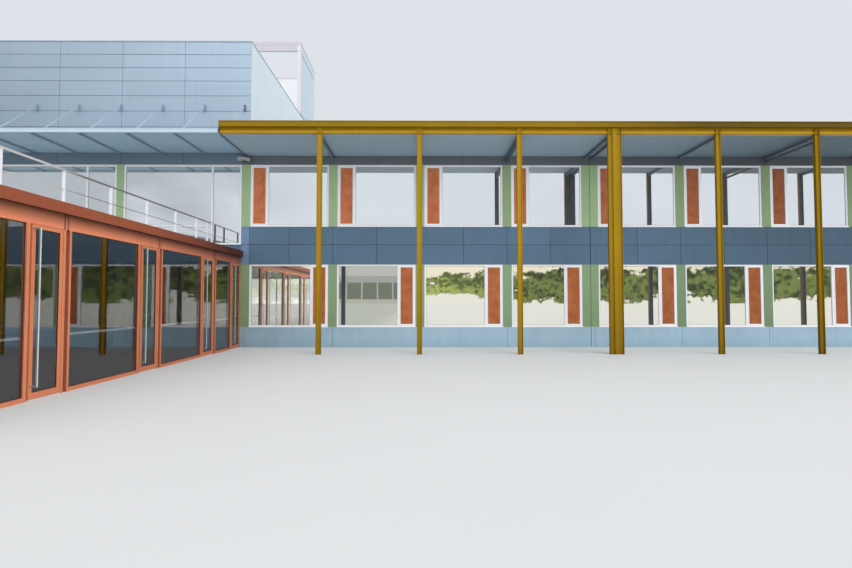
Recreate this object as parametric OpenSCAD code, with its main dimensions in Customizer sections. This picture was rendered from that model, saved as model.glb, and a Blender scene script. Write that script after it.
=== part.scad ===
// School building: a long two storey wing with a columned overhang, a tall clad hall
// beside it, and a low glazed wing with a terrace that runs forward from the hall.
// X runs along the front to the right, Y runs into the building, Z is up.
// The origin is on the ground at the foot of the second front column.

/* [Main wing] */
// Spacing of the window bays, columns and pilasters
bay = 3000; // [2800:10:3200]
// Window bays left of the expansion joint
left_bays = 4; // [3:1:5]
// Window bays right of the expansion joint
right_bays = 4; // [3:1:4]
// Distance from the column line back to the front wall
overhang = 2140; // [1800:10:2600]
// Depth of the main wing and the hall, over both walls
body_depth = 10760; // [9000:20:12000]
// Thickness of every outer wall
wall_t = 300; // [240:10:400]
// Width of the gap at the expansion joint
joint_gap = 20; // [10:1:40]
// Distance of the expansion joint to the left of its bay line
joint_offset = 130; // [100:5:160]

/* [Storeys] */
// Height of the plinth below the lower windows
plinth_h = 690; // [600:10:800]
// Height of a window, the same on both storeys
window_h = 2140; // [1900:10:2200]
// Height of the blank band between the storeys
spandrel_h = 1310; // [1200:10:1500]
// Height of the band between the upper windows and the soffit
lintel_h = 310; // [200:10:400]
// Thickness of the ground slab
ground_t = 60; // [40:5:120]
// Thickness of the upper floor
floor_t = 300; // [200:10:340]
// Distance of the upper floor's top below the upper window sills
floor_drop = 640; // [500:10:700]
// Thickness of the flat roof over the main wing
roof_t = 290; // [240:10:340]

/* [Windows] */
// Width of the pilaster between two windows
pilaster_w = 300; // [240:10:360]
// Width of the vent panel at one end of each window
vent_w = 420; // [350:10:500]
// Width of the frame beside and above a vent panel
vent_frame = 100; // [70:5:130]
// Width of the frame beside and above the glass
frame_w = 50; // [40:5:70]
// Depth of a window frame, front to back
frame_d = 80; // [60:5:120]
// Distance of the frame behind the wall's face
setback = 20; // [5:1:60]
// Thickness of a sealed glass pane
glass_t = 24; // [16:1:32]
// Thickness of a vent panel
vent_t = 40; // [25:1:50]

/* [Overhang] */
// Width of a column, seen from the front
column_w = 150; // [120:5:180]
// Depth of a column, front to back
column_d = 100; // [80:5:140]
// Thickness of the flanges of columns, beams and rafters
flange_t = 9; // [6:1:14]
// Thickness of the webs of columns, beams and rafters
web_t = 8; // [6:2:12]
// Thickness of the plates at a column's foot and top and at its beam
plate_t = 10; // [8:1:16]
// Height of the beam between the columns
beam_h = 170; // [140:5:220]
// Depth of the beam between the columns
beam_d = 120; // [100:5:160]
// Height of the roof's front edge above the beam
fascia_h = 170; // [140:5:220]
// Distance that the roof's front edge stands in front of the beam
fascia_out = 70; // [30:5:150]
// Distance that the trim on top of the roof's front edge stands out
trim_out = 14; // [8:1:24]
// Height of the trim on top of the roof's front edge
trim_h = 26; // [16:1:40]
// Distance of the beam's underside above the soffit
beam_lift = 30; // [10:1:60]
// Width of a rafter under the soffit
rafter_w = 80; // [60:5:100]
// Height of a rafter under the soffit
rafter_h = 90; // [60:5:140]
// Width of the rafter beyond the roof's left end
end_rafter_w = 46; // [30:2:60]
// Thickness of the cover strip between the paired columns
strip_t = 6; // [3:1:10]
// Radius of a rain pipe behind a column
pipe_r = 40; // [30:1:50]
// Radius of the middle of a rain pipe's bend
bend_r = 100; // [80:5:160]
// Distance of the middle of a rain pipe's upper run below the soffit
pipe_drop = 190; // [180:5:260]

/* [Hall] */
// Spacing of the hall's front posts
hall_bay = 4330; // [4000:10:4400]
// Bays along the front of the hall
hall_bays = 3; // [2:1:3]
// Height of the hall's walls above the ground
hall_h = 10615; // [9500:10:11500]
// Width of a post in the hall's front
hall_post_w = 245; // [200:5:300]
// Distance of the hall's glazing sill below the main wing's upper sills
sill_drop = 635; // [560:5:700]
// Height of the low panes under the transom of the hall's large panes
low_pane_h = 660; // [500:10:900]
// Width of the narrow pane at the right of each hall bay
side_pane = 930; // [700:10:1100]
// Width of the hall's window frames
hall_frame = 60; // [40:5:80]
// Distance of the end wall beyond the last hall post's middle
hall_end = 160; // [140:5:300]

/* [Canopy] */
// Height of the canopy's front edge
canopy_edge_h = 120; // [110:5:240]
// Distance of the canopy's front edge above the underside of the eaves beam
canopy_lift = 0; // [0:5:100]
// Thickness of the canopy's deck
canopy_t = 40; // [30:5:60]
// Height of a canopy rib
rib_h = 60; // [40:5:110]
// Width of a canopy rib
rib_w = 30; // [24:2:60]
// Canopy ribs and tie rods to each hall bay
ribs_per_bay = 3; // [2:1:4]
// Radius of a tie rod
rod_r = 13; // [10:1:20]
// Height of the middle of the tie rods' wall fins above the canopy's deck
anchor_rise = 1515; // [1200:5:1700]
// Distance from the wall at which a tie rod meets the canopy
rod_reach = 1800; // [1300:10:1900]
// Height of a wall fin that holds a tie rod
fin_h = 220; // [120:10:260]
// Distance that a wall fin stands out from the wall
fin_out = 80; // [40:5:120]

/* [Glazed wing] */
// Length of one facade module, a fixed pane and a door
module_l = 2955; // [2800:5:3100]
// Whole facade modules
modules = 3; // [2:1:3]
// Length of the short module at the hall
short_l = 2030; // [1900:5:2100]
// Width of a door leaf
leaf_w = 650; // [560:5:700]
// Thickness of a door leaf
leaf_t = 60; // [45:1:70]
// Width of a door leaf's stiles and top rail
stile_w = 65; // [45:1:80]
// Height of a door leaf's bottom rail
foot_rail = 105; // [80:5:160]
// Gap round a door leaf
door_gap = 6; // [6:1:10]
// Width of the post on a door's hinge side
post_w = 60; // [50:1:80]
// Width of the face of the post between a pane and a door
jamb_w = 64; // [50:1:80]
// Width of the rebate between that post's face and the door
rebate_w = 36; // [20:1:50]
// Width of the recessed face after a module joint
recess_w = 80; // [60:1:110]
// Distance of the recesses and rebates behind the frame's face
recess_d = 48; // [30:1:60]
// Width of the bead between a recess and its pane
bead_w = 50; // [30:1:60]
// Half the width of the gasket gap between two joined posts
gasket = 3; // [2:1:5]
// Depth of the wing's frame, front to back
wing_d = 80; // [70:1:120]
// Height of the underside of the head rail
head_z = 2830; // [2600:10:2850]
// Height of the top of the head rail
head_top = 3100; // [3060:5:3140]
// Height of the rail below a fixed pane
sill_h = 70; // [50:5:120]
// Height of the top of the wing's roof edge
wing_top = 3295; // [3270:5:3330]
// Distance that the roof edge stands out from the frame
wing_lip = 80; // [50:5:120]
// Thickness of the wing's roof
wing_roof_t = 300; // [240:10:340]
// Height of the guard rail inside the fixed panes
guard_z = 980; // [850:10:1100]
// Height of the guard rail's bar
guard_h = 45; // [30:1:60]
// Thickness of the guard rail's bar
guard_t = 30; // [20:1:40]

/* [Door handles] */
// Width of the square tube of a pull handle
pull_w = 24; // [20:2:44]
// Distance of the tube's middle from the door's face
pull_out = 100; // [70:5:110]
// Height of the handle's lower arm above the ground
pull_low = 227; // [120:1:400]
// Distance of the handle's upper arm below the leaf's top
pull_drop = 70; // [60:5:400]

/* [Door hinges] */
// Radius of a hinge's knuckles
hinge_r = 12; // [9:1:14]
// Distance of the hinge's axis from the door's face
hinge_out = 15; // [15:1:20]
// Height of one knuckle
knuckle_h = 60; // [40:5:80]
// Length of a hinge's strap along the door or the post
strap_l = 46; // [35:1:55]
// Thickness of a hinge's strap
strap_t = 4; // [3:1:6]
// Hinges on each door
hinges = 3; // [2:1:4]
// Distance of the end hinges from the leaf's ends
hinge_in = 300; // [200:10:450]
// Gap between two knuckles
knuckle_gap = 0.3; // [0.2:0.1:0.5]

/* [Terrace railing] */
// Distance of the railing from the wing's facade
rail_in = 1050; // [600:10:1400]
// Spacing of the railing posts
rail_pitch = 1450; // [1200:10:1600]
// Distance of the first railing post from the wall
rail_first = 263; // [150:1:400]
// Distance of the second railing post from the wall
rail_second = 1020; // [900:10:1200]
// Distance of the third railing post from the wall
rail_third = 2300; // [2000:10:2500]
// Height of the railing above the terrace
rail_h = 1020; // [950:10:1150]
// Distance of the middle rail below the top rail
mid_drop = 405; // [300:5:500]
// Width of a railing post
rail_post_w = 65; // [50:1:80]
// Thickness of a railing post
rail_post_t = 14; // [10:1:20]
// Width and height of the top rail
top_rail = 34; // [25:1:45]
// Width and height of the middle rail
mid_rail = 14; // [10:1:20]

/* [Roof lantern] */
// Width and depth of the lantern
lantern_w = 3000; // [2400:20:3600]
// Height of the lantern above the hall's roof
lantern_h = 3600; // [2800:10:3800]
// Distance of the lantern's back in front of the hall's back face
lantern_back = 1250; // [800:10:1600]
// Width of a lantern post
lantern_post = 150; // [100:5:180]
// Height of the lantern's roof plate
lantern_cap = 170; // [120:5:260]
// Height of the head rail under the roof plate
lantern_head = 290; // [200:5:320]
// Height of the blank lower panels
panel_h = 1785; // [1200:5:1900]

/* [Floodlights] */
// Length of one of the two lamps
lamp_l = 220; // [160:5:260]
// Width of a lamp
lamp_w = 160; // [120:5:200]
// Height of a lamp at its front
lamp_h = 110; // [80:5:140]
// Distance of the middle of the lamps from the wall
lamp_arm = 180; // [140:5:300]
// Thickness of the arm that holds the lamps
lamp_bar = 40; // [30:2:50]
// Distance of the arm above the heads of the upper windows
lamp_rise = 160; // [60:5:180]

/* [Hidden] */
$fn = 32;
eps = 1;

front_y = overhang;
rear_y = overhang + body_depth;
wall_back = front_y + wall_t;
rear_front = rear_y - wall_t;

low_top = plinth_h + window_h;
up_sill = low_top + spandrel_h;
up_top = up_sill + window_h;
soffit_z = up_top + lintel_h;
floor_top = up_sill - floor_drop;
hall_sill = up_sill - sill_drop;
transom_z = hall_sill + low_pane_h;
lamp_z = up_top + lamp_rise;

bays = left_bays + right_bays;
start_x = -2 * bay;
joint_x = start_x + left_bays * bay - joint_offset;
joint_left = joint_x - joint_gap / 2;
joint_right = joint_x + joint_gap / 2;
joint_pilaster = pilaster_w / 2 + joint_offset - joint_gap / 2;
end_x = start_x + bays * bay + pilaster_w / 2;
main_left = start_x - pilaster_w / 2;

hall_left = start_x - hall_bays * hall_bay - hall_end;
hall_right = start_x + joint_offset;
rear_lines = floor((start_x - hall_left) / bay);

beam_z = soffit_z + beam_lift;
fascia_z = beam_z + beam_h;
beam_back = beam_d / 2;
canopy_end = start_x - end_rafter_w - 4;
pair_x = start_x + left_bays * bay - 2 * joint_offset;

wing_x = main_left;
wing_in = wing_x - wing_d;
joint_y = front_y - short_l;
near_y = joint_y - modules * module_l;
terrace_z = wing_top - 45;
roof_under = terrace_z - wing_roof_t;
leaf_top = head_z - door_gap;
leaf_bottom = 15;
leaf_x = wing_x - leaf_t;

rail_x = wing_x - rail_in;
lantern_x = hall_right - lantern_w;
lantern_y = rear_y - lantern_back - lantern_w;
lantern_top = hall_h + lantern_h;

// A plain box from its low corner to its high corner
module block(a, b) {
  translate(a) cube([b[0] - a[0], b[1] - a[1], b[2] - a[2]]);
}

// A box in the front wall (side 0) or the rear wall (side 1), set back from the face
module in_wall(side, x0, x1, back, d, z0, z1) {
  y = side == 0 ? front_y + back : rear_y - back - d;
  block([x0, y, z0], [x1, y + d, z1]);
}

// Left end of a row of wall pieces, which runs on behind the hall at the rear
function row_left(side) = side == 0 ? main_left : hall_left;

// Index of the first bay line, which is lower at the rear
function first_line(side) = side == 0 ? 0 : -rear_lines;

function line_x(i) = start_x + i * bay;

// Left and right edges of the window that follows bay line i
function window_x0(i) = i == left_bays ? joint_right + joint_pilaster
  : line_x(i) + pilaster_w / 2;
function window_x1(i) = i + 1 == left_bays ? joint_left - joint_pilaster
  : line_x(i + 1) - pilaster_w / 2;

function column_xs() = concat(
  [for (i = [1:left_bays - 1]) line_x(i)],
  [pair_x],
  [for (i = [left_bays:bays]) line_x(i)]);

module ground_slab() {
  color("gray") {
    block([hall_left + wall_t, wall_back, 0], [end_x - wall_t, rear_front, ground_t]);
    block([hall_left + wall_t, near_y + wing_d, 0], [wing_in, wall_back - 10, ground_t]);
  }
}

// One band of the outer wall, split at the expansion joint
module wall_band(side, x0, z0, z1) {
  in_wall(side, x0, joint_left, 0, wall_t, z0, z1);
  in_wall(side, joint_right, end_x, 0, wall_t, z0, z1);
}

module plinth() {
  color("lightblue") {
    for (side = [0, 1]) wall_band(side, row_left(side), 0, plinth_h);
  }
}

module pilaster_row(side, z0, z1) {
  for (i = [first_line(side):bays]) {
    x0 = i == first_line(side) ? row_left(side) : line_x(i) - pilaster_w / 2;
    x1 = line_x(i) + pilaster_w / 2;
    if (i == left_bays) {
      in_wall(side, joint_left - joint_pilaster, joint_left, 0, wall_t, z0, z1);
      in_wall(side, joint_right, joint_right + joint_pilaster, 0, wall_t, z0, z1);
    } else {
      in_wall(side, x0, x1, 0, wall_t, z0, z1);
    }
  }
}

// Left and right edges of hall post k, counted from the main wing
function hall_post_x0(k) = k == hall_bays ? hall_left
  : start_x - k * hall_bay - hall_post_w / 2;
function hall_post_x1(k) = start_x - k * hall_bay + hall_post_w / 2;

module pilasters() {
  color("yellowgreen") {
    for (side = [0, 1]) {
      pilaster_row(side, plinth_h, low_top);
      pilaster_row(side, up_sill, up_top);
    }
    for (k = [1:hall_bays]) {
      in_wall(0, hall_post_x0(k), hall_post_x1(k), 0, wall_t,
        k == hall_bays ? 0 : ground_t, roof_under);
      in_wall(0, hall_post_x0(k), hall_post_x1(k), 0, wall_t, hall_sill, up_top);
    }
  }
}

module spandrel() {
  color("steelblue") {
    for (side = [0, 1]) wall_band(side, row_left(side), low_top, up_sill);
    in_wall(0, hall_left, main_left - 2, 0, wall_t, roof_under, hall_sill);
  }
}

module lintel() {
  color("darkslategray") {
    for (side = [0, 1]) wall_band(side, hall_left, up_top, soffit_z);
  }
}

// One window frame with an opening for its vent panel and one for its glass
module window_frame(side, x0, x1, z0, vent_left) {
  vent_x = vent_left ? x0 + vent_frame : x1 - vent_frame - vent_w;
  glass_x0 = vent_left ? x0 + 2 * vent_frame + vent_w : x0 + frame_w;
  glass_x1 = vent_left ? x1 - frame_w : x1 - 2 * vent_frame - vent_w;
  difference() {
    in_wall(side, x0, x1, setback, frame_d, z0, z0 + window_h);
    in_wall(side, vent_x, vent_x + vent_w, setback - eps, frame_d + 2 * eps,
      z0 + vent_frame, z0 + window_h - vent_frame);
    in_wall(side, glass_x0, glass_x1, setback - eps, frame_d + 2 * eps,
      z0 + frame_w, z0 + window_h - frame_w);
  }
}

module window_frames() {
  color("white") {
    for (side = [0, 1]) for (i = [first_line(side):bays - 1]) {
      window_frame(side, window_x0(i), window_x1(i), plinth_h, false);
      window_frame(side, window_x0(i), window_x1(i), up_sill, true);
    }
  }
}

module vent_panels() {
  color("chocolate") {
    for (side = [0, 1]) for (i = [first_line(side):bays - 1]) for (up = [0, 1]) {
      z0 = up == 1 ? up_sill : plinth_h;
      x0 = up == 1 ? window_x0(i) + vent_frame : window_x1(i) - vent_frame - vent_w;
      in_wall(side, x0, x0 + vent_w, setback + 15, vent_t,
        z0 + vent_frame, z0 + window_h - vent_frame);
    }
  }
}

module window_glass() {
  color("lightcyan", 0.5) {
    for (side = [0, 1]) for (i = [first_line(side):bays - 1]) for (up = [0, 1]) {
      z0 = up == 1 ? up_sill : plinth_h;
      vent_all = 2 * vent_frame + vent_w;
      x0 = up == 1 ? window_x0(i) + vent_all : window_x0(i) + frame_w;
      x1 = up == 1 ? window_x1(i) - frame_w : window_x1(i) - vent_all;
      in_wall(side, x0, x1, setback + 28, glass_t, z0 + frame_w,
        z0 + window_h - frame_w);
    }
  }
}

module upper_floor() {
  color("silver") {
    block([hall_left + wall_t, wall_back, floor_top - floor_t],
      [end_x - wall_t, rear_front, floor_top]);
  }
}

// The roof reaches farther left in front of the hall than beside it
module main_roof() {
  color("slategray") {
    translate([0, 0, soffit_z]) linear_extrude(roof_t) polygon([
      [start_x, beam_back], [end_x, beam_back], [end_x, rear_y], [hall_right, rear_y],
      [hall_right, front_y], [start_x, front_y]]);
  }
}

// A profile drawn with its width along Y and its height along Z, run out along X
module run_x(x0, x1) {
  translate([x0, 0, 0]) rotate([90, 0, 90]) linear_extrude(x1 - x0) children();
}

// Section of a steel member with two flanges of width w, h apart over their outsides
module i_section(w, h) {
  square([web_t, h], center = true);
  for (s = [-1, 1]) translate([0, s * (h - flange_t) / 2]) square([w, flange_t], center = true);
}

// The roof's front edge, with a trim that stands out along its top
module fascia() {
  face = -beam_d / 2 - fascia_out;
  color("goldenrod") {
    run_x(start_x, end_x) polygon([
      [face, fascia_z], [beam_back, fascia_z], [beam_back, fascia_z + fascia_h],
      [face - trim_out, fascia_z + fascia_h], [face - trim_out, fascia_z + fascia_h - trim_h],
      [face, fascia_z + fascia_h - trim_h]]);
  }
}

// The beam runs from column to column, open at its free end and left out between the pair
module eaves_beam() {
  xs = column_xs();
  color("gold") {
    for (i = [0:len(xs) - 1]) if (xs[i] != line_x(left_bays)) {
      x0 = i == 0 ? start_x : xs[i - 1] + column_w / 2;
      run_x(x0, xs[i] - column_w / 2) translate([0, beam_z + beam_h / 2]) i_section(beam_d, beam_h);
    }
  }
}

// Columns with their webs along the front, closed by plates at the foot, beam and top
module columns() {
  color("gold") {
    for (x = column_xs()) translate([x, 0, 0]) {
      linear_extrude(fascia_z) rotate(90) i_section(column_d, column_w);
      for (z = [0, beam_z, fascia_z - plate_t]) {
        block([-column_w / 2, -column_d / 2, z], [column_w / 2, column_d / 2, z + plate_t]);
      }
    }
  }
}

// A rain pipe that rises in the back of a column and bends to the wall under the soffit
module rain_pipe(x) {
  pipe_y = web_t / 2 + pipe_r;
  run_z = soffit_z - pipe_drop;
  translate([x, pipe_y, plate_t]) cylinder(r = pipe_r, h = run_z - bend_r - plate_t);
  translate([x, pipe_y + bend_r, run_z - bend_r]) rotate([90, 0, -90])
    rotate_extrude(angle = 90) translate([bend_r, 0]) circle(r = pipe_r);
  translate([x, pipe_y + bend_r, run_z]) rotate([-90, 0, 0])
    cylinder(r = pipe_r, h = front_y - pipe_y - bend_r);
}

// The folded cover strip between the paired columns, and the rain pipes of two others
module rain_pipes() {
  strip_w = line_x(left_bays) - pair_x - column_w;
  color("khaki") {
    translate([pair_x + column_w / 2, -column_d / 2, 0]) linear_extrude(fascia_z) difference() {
      square([strip_w, column_d * 3 / 4]);
      translate([strip_t, strip_t]) square([strip_w - 2 * strip_t, column_d]);
    }
    for (i = [3, left_bays + 2]) rain_pipe(line_x(i));
  }
}

// A steel member from y0 back to the front wall, its middle at height z
module run_y(x, y0, z) {
  translate([x, y0, z]) rotate([-90, 0, 0]) linear_extrude(front_y - y0) children();
}

// Rafters from the columns' webs back to the wall, and a taller one beyond the roof's left end
module rafters() {
  color("dimgray") {
    for (x = column_xs()) {
      run_y(x, web_t / 2, soffit_z - rafter_h / 2) i_section(rafter_w, rafter_h);
    }
    run_y((start_x + canopy_end) / 2, -beam_back, beam_z + beam_h / 2)
      i_section(end_rafter_w, beam_h);
  }
}

module end_walls() {
  color("lightsteelblue") {
    block([end_x - wall_t, wall_back, 0], [end_x, rear_front, soffit_z]);
    block([hall_left, near_y + wing_d, 0], [hall_left + wall_t, front_y, roof_under]);
  }
}

module hall_cladding() {
  color("lightsteelblue") {
    for (side = [0, 1]) in_wall(side, hall_left, hall_right, 0, wall_t, soffit_z, hall_h);
  }
}

module hall_sides() {
  color("aliceblue") {
    block([hall_left, wall_back, 0], [hall_left + wall_t, rear_front, hall_h]);
    block([hall_right - wall_t, wall_back, up_top], [hall_right, rear_front, hall_h]);
  }
}

// The hall's flat roof in three fields, left open under the lantern
module hall_roof() {
  low = hall_h - roof_t;
  field_joint = 10;
  edge_x = lantern_x + lantern_post;
  edge_y = lantern_y + lantern_post;
  color("gray") {
    block([hall_left + wall_t, wall_back, low], [hall_right - wall_t, edge_y, hall_h]);
    block([hall_left + wall_t, edge_y + field_joint, low], [edge_x, rear_front, hall_h]);
    block([edge_x + field_joint, lantern_y + lantern_w - lantern_post, low],
      [hall_right - wall_t, rear_front, hall_h]);
  }
}

// Left and right edges of the hall's front glazing in bay k
function hall_x1(k) = k == 0 ? main_left : hall_post_x0(k);
function hall_x0(k) = hall_post_x1(k + 1);

module hall_frames() {
  color("white") {
    for (k = [0:hall_bays - 1]) {
      x0 = hall_x0(k);
      x1 = hall_x1(k);
      mull = x1 - side_pane - hall_frame;
      y0 = setback - eps;
      d = frame_d + 2 * eps;
      difference() {
        in_wall(0, x0, x1, setback, frame_d, hall_sill, up_top);
        in_wall(0, x0 + hall_frame, mull - hall_frame, y0, d,
          hall_sill + hall_frame, transom_z - hall_frame / 2);
        in_wall(0, x0 + hall_frame, mull - hall_frame, y0, d,
          transom_z + hall_frame / 2, up_top - hall_frame);
        in_wall(0, mull, x1 - hall_frame, y0, d,
          hall_sill + hall_frame, up_top - hall_frame);
      }
    }
  }
}

module hall_glass() {
  color("lightcyan", 0.5) {
    for (k = [0:hall_bays - 1]) {
      x0 = hall_x0(k);
      x1 = hall_x1(k);
      mull = x1 - side_pane - hall_frame;
      y0 = setback + 28;
      in_wall(0, x0 + hall_frame, mull - hall_frame, y0, glass_t,
        hall_sill + hall_frame, transom_z - hall_frame / 2);
      in_wall(0, x0 + hall_frame, mull - hall_frame, y0, glass_t,
        transom_z + hall_frame / 2, up_top - hall_frame);
      in_wall(0, mull, x1 - hall_frame, y0, glass_t,
        hall_sill + hall_frame, up_top - hall_frame);
    }
  }
}

canopy_z = beam_z + canopy_lift;
deck_z = canopy_z + rib_h + 10;
deck_top = deck_z + canopy_t;
anchor_z = deck_top + anchor_rise;

// The canopy's deck with its deeper front edge
module canopy() {
  color("powderblue") {
    block([hall_left, 0, deck_z], [canopy_end, front_y, deck_top]);
    block([hall_left, -beam_back, canopy_z], [canopy_end, 0, canopy_z + canopy_edge_h]);
  }
}

// The first rib stands just inside the canopy's right end, the others at an even spacing
function rib_xs() = concat([canopy_end - rib_w / 2],
  [for (k = [1:hall_bays * ribs_per_bay]) floor(start_x - k * hall_bay / ribs_per_bay)]);

// Ribs under the canopy and the tie rods' fins on the wall above it
module canopy_ribs() {
  color("dimgray") {
    for (x = rib_xs()) {
      block([x - rib_w / 2, 0, deck_z - rib_h], [x + rib_w / 2, front_y, deck_z]);
      block([x - rib_w / 2, front_y - fin_out, anchor_z - fin_h / 2],
        [x + rib_w / 2, front_y, anchor_z + fin_h / 2]);
    }
  }
}

// Sloping rods cut off flush with the wall fins and the canopy's deck
module tie_rods() {
  rise = anchor_z - deck_top;
  run = rod_reach - fin_out;
  slope = atan2(run, rise);
  over = 200;
  color("whitesmoke") {
    for (x = rib_xs()) {
      intersection() {
        translate([x, front_y - fin_out, anchor_z]) rotate([180 - slope, 0, 0])
          translate([0, 0, -over]) cylinder(r = rod_r, h = sqrt(rise * rise + run * run) + 2 * over);
        block([x - over, 0, deck_top], [x + over, front_y - fin_out, anchor_z + over]);
      }
    }
  }
}

// Far end of facade module m; the last one is the short module at the hall
function far_y(m) = m == modules ? front_y + gasket : near_y + (m + 1) * module_l;
function start_y(m) = near_y + m * module_l;

// Near edges of the door leaf of module m and of the jamb before it
function leaf_y(m) = far_y(m) - gasket - post_w - door_gap - leaf_w;
function jamb_y(m) = leaf_y(m) - door_gap - rebate_w - jamb_w;

// Near edge of the fixed pane in module m
function pane_y(m) = m == 0 ? near_y + wing_d : start_y(m) + gasket + recess_w + bead_w;

end_panes = 2 * hall_bays;
end_pitch = floor((wing_in - hall_left - wall_t) / end_panes);

// A post whose face is set back beside a module joint (side -1) or a door (side 1)
module stepped_post(y0, face, step, side) {
  y1 = y0 + face + step;
  step_y = side < 0 ? y0 + step : y0 + face;
  step_x = wing_x - recess_d;
  linear_extrude(head_z) polygon([
    [wing_in, y0], [side < 0 ? step_x : wing_x, y0], [side < 0 ? step_x : wing_x, step_y],
    [side < 0 ? wing_x : step_x, step_y], [side < 0 ? wing_x : step_x, y1], [wing_in, y1]]);
}

module wing_posts() {
  color("coral") {
    block([wing_in, near_y, 0], [wing_x, pane_y(0), head_top]);
    for (m = [0:modules]) {
      if (m > 0) stepped_post(start_y(m) + gasket, bead_w, recess_w, -1);
      stepped_post(jamb_y(m), jamb_w, rebate_w, 1);
      block([wing_in, far_y(m) - gasket - post_w, 0], [wing_x, far_y(m) - gasket, head_z]);
    }
    for (k = [0:end_panes - 1]) {
      x = hall_left + wall_t + k * end_pitch;
      block([x, near_y, 0], [x + post_w, near_y + wing_d, head_z]);
    }
  }
}

module wing_rails() {
  color("coral") {
    block([hall_left, near_y, head_z], [wing_in, near_y + wing_d, head_top]);
    for (m = [0:modules]) {
      first = m == 0 ? near_y + wing_d : start_y(m) + gasket;
      block([wing_in, first, head_z], [wing_x, far_y(m) - gasket, head_top]);
      block([wing_in, pane_y(m), 0], [wing_x, jamb_y(m), sill_h]);
    }
    for (k = [0:end_panes - 1]) {
      x = hall_left + wall_t + k * end_pitch;
      x1 = k == end_panes - 1 ? wing_in : x + end_pitch;
      block([x + post_w, near_y, 0], [x1, near_y + wing_d, sill_h]);
    }
  }
}

module wing_glass() {
  color("lightcyan", 0.5) {
    gx = wing_x - 55;
    for (m = [0:modules]) {
      block([gx, pane_y(m), sill_h], [gx + glass_t, jamb_y(m), head_z]);
    }
    for (k = [0:end_panes - 1]) {
      x = hall_left + wall_t + k * end_pitch;
      x1 = k == end_panes - 1 ? wing_in : x + end_pitch;
      block([x + post_w, near_y + 31, sill_h], [x1, near_y + 31 + glass_t, head_z]);
    }
  }
}

// The roof edge on three sides, with a small joint at each corner
module wing_fascia() {
  color("sienna") {
    block([wing_in, near_y - wing_lip, head_top], [wing_x + wing_lip, front_y, wing_top]);
    block([hall_left - wing_lip, near_y - wing_lip, head_top],
      [wing_in - 4, near_y + wing_d, wing_top]);
    block([hall_left - wing_lip, near_y + wing_d + 4, head_top], [hall_left, front_y, wing_top]);
  }
}

module wing_roof() {
  color("gray") {
    block([hall_left, near_y + wing_d, roof_under], [wing_in, front_y, terrace_z]);
  }
}

module guard_rails() {
  color("white") {
    for (m = [0:modules]) {
      block([wing_in - guard_t, pane_y(m) - (m == 0 ? 0 : post_w / 2), guard_z],
        [wing_in, jamb_y(m) + jamb_w / 2, guard_z + guard_h]);
    }
  }
}

// Heights of the hinges, each at the gap between its two knuckles
hinge_step = (leaf_top - leaf_bottom - 2 * hinge_in) / (hinges - 1);
hinge_zs = [for (i = [0:hinges - 1]) leaf_bottom + hinge_in + i * hinge_step];
hinge_x = wing_x + hinge_out;

// One knuckle and its strap; side is -1 towards the leaf and 1 towards the post
module knuckle(m, side, z) {
  y = leaf_y(m) + leaf_w + door_gap / 2;
  edge = y + side * (door_gap / 2 + strap_l);
  translate([hinge_x, y, z]) cylinder(r = hinge_r, h = knuckle_h);
  block([wing_x, min(y, edge), z], [wing_x + strap_t, max(y, edge), z + knuckle_h]);
  block([wing_x + strap_t / 2, y - strap_t / 2, z], [hinge_x, y + strap_t / 2, z + knuckle_h]);
}

module hinges_fixed() {
  color("coral") {
    for (m = [0:modules]) for (z = hinge_zs) knuckle(m, 1, z - knuckle_h);
  }
}

// Railing posts from the wall forward: two close to the wall, then an even spacing
rail_far = front_y - rail_third;
rail_near = near_y + rail_in;
rail_count = floor((rail_far - rail_near) / rail_pitch);
rail_ys = concat([front_y - rail_first, front_y - rail_second],
  [for (i = [0:rail_count]) rail_far - i * rail_pitch]);
rail_top = terrace_z + rail_h;

// One side of the railing with its posts and rails joined
module rail_side(x) {
  for (y = rail_ys) {
    block([x - rail_post_w / 2, y - rail_post_t / 2, terrace_z],
      [x + rail_post_w / 2, y + rail_post_t / 2, rail_top - top_rail]);
  }
  block([x - top_rail / 2, rail_near, rail_top - top_rail], [x + top_rail / 2, front_y, rail_top]);
  block([x - mid_rail / 2, rail_near, rail_top - mid_drop - mid_rail],
    [x + mid_rail / 2, front_y, rail_top - mid_drop]);
}

module railing() {
  far_x = hall_left + rail_in;
  ends = 8;
  step = (rail_x - far_x - 200) / ends;
  color("whitesmoke") {
    rail_side(rail_x);
    rail_side(far_x);
    for (i = [0:ends]) {
      x = far_x + 100 + i * step;
      block([x - rail_post_t / 2, rail_near - rail_post_w / 2, terrace_z],
        [x + rail_post_t / 2, rail_near + rail_post_w / 2, rail_top - top_rail]);
    }
    block([far_x + 20, rail_near - top_rail / 2, rail_top - top_rail],
      [rail_x - 20, rail_near + top_rail / 2, rail_top]);
    block([far_x + 20, rail_near - mid_rail / 2, rail_top - mid_drop - mid_rail],
      [rail_x - 20, rail_near + mid_rail / 2, rail_top - mid_drop]);
  }
}

lantern_x1 = lantern_x + lantern_w;
lantern_y1 = lantern_y + lantern_w;
head_low = lantern_top - lantern_cap - lantern_head;

module lantern_posts() {
  p = lantern_post;
  color("whitesmoke") {
    for (x = [lantern_x, lantern_x1 - p]) for (y = [lantern_y, lantern_y1 - p]) {
      block([x, y, hall_h], [x + p, y + p, lantern_top - lantern_cap]);
    }
  }
}

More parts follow.
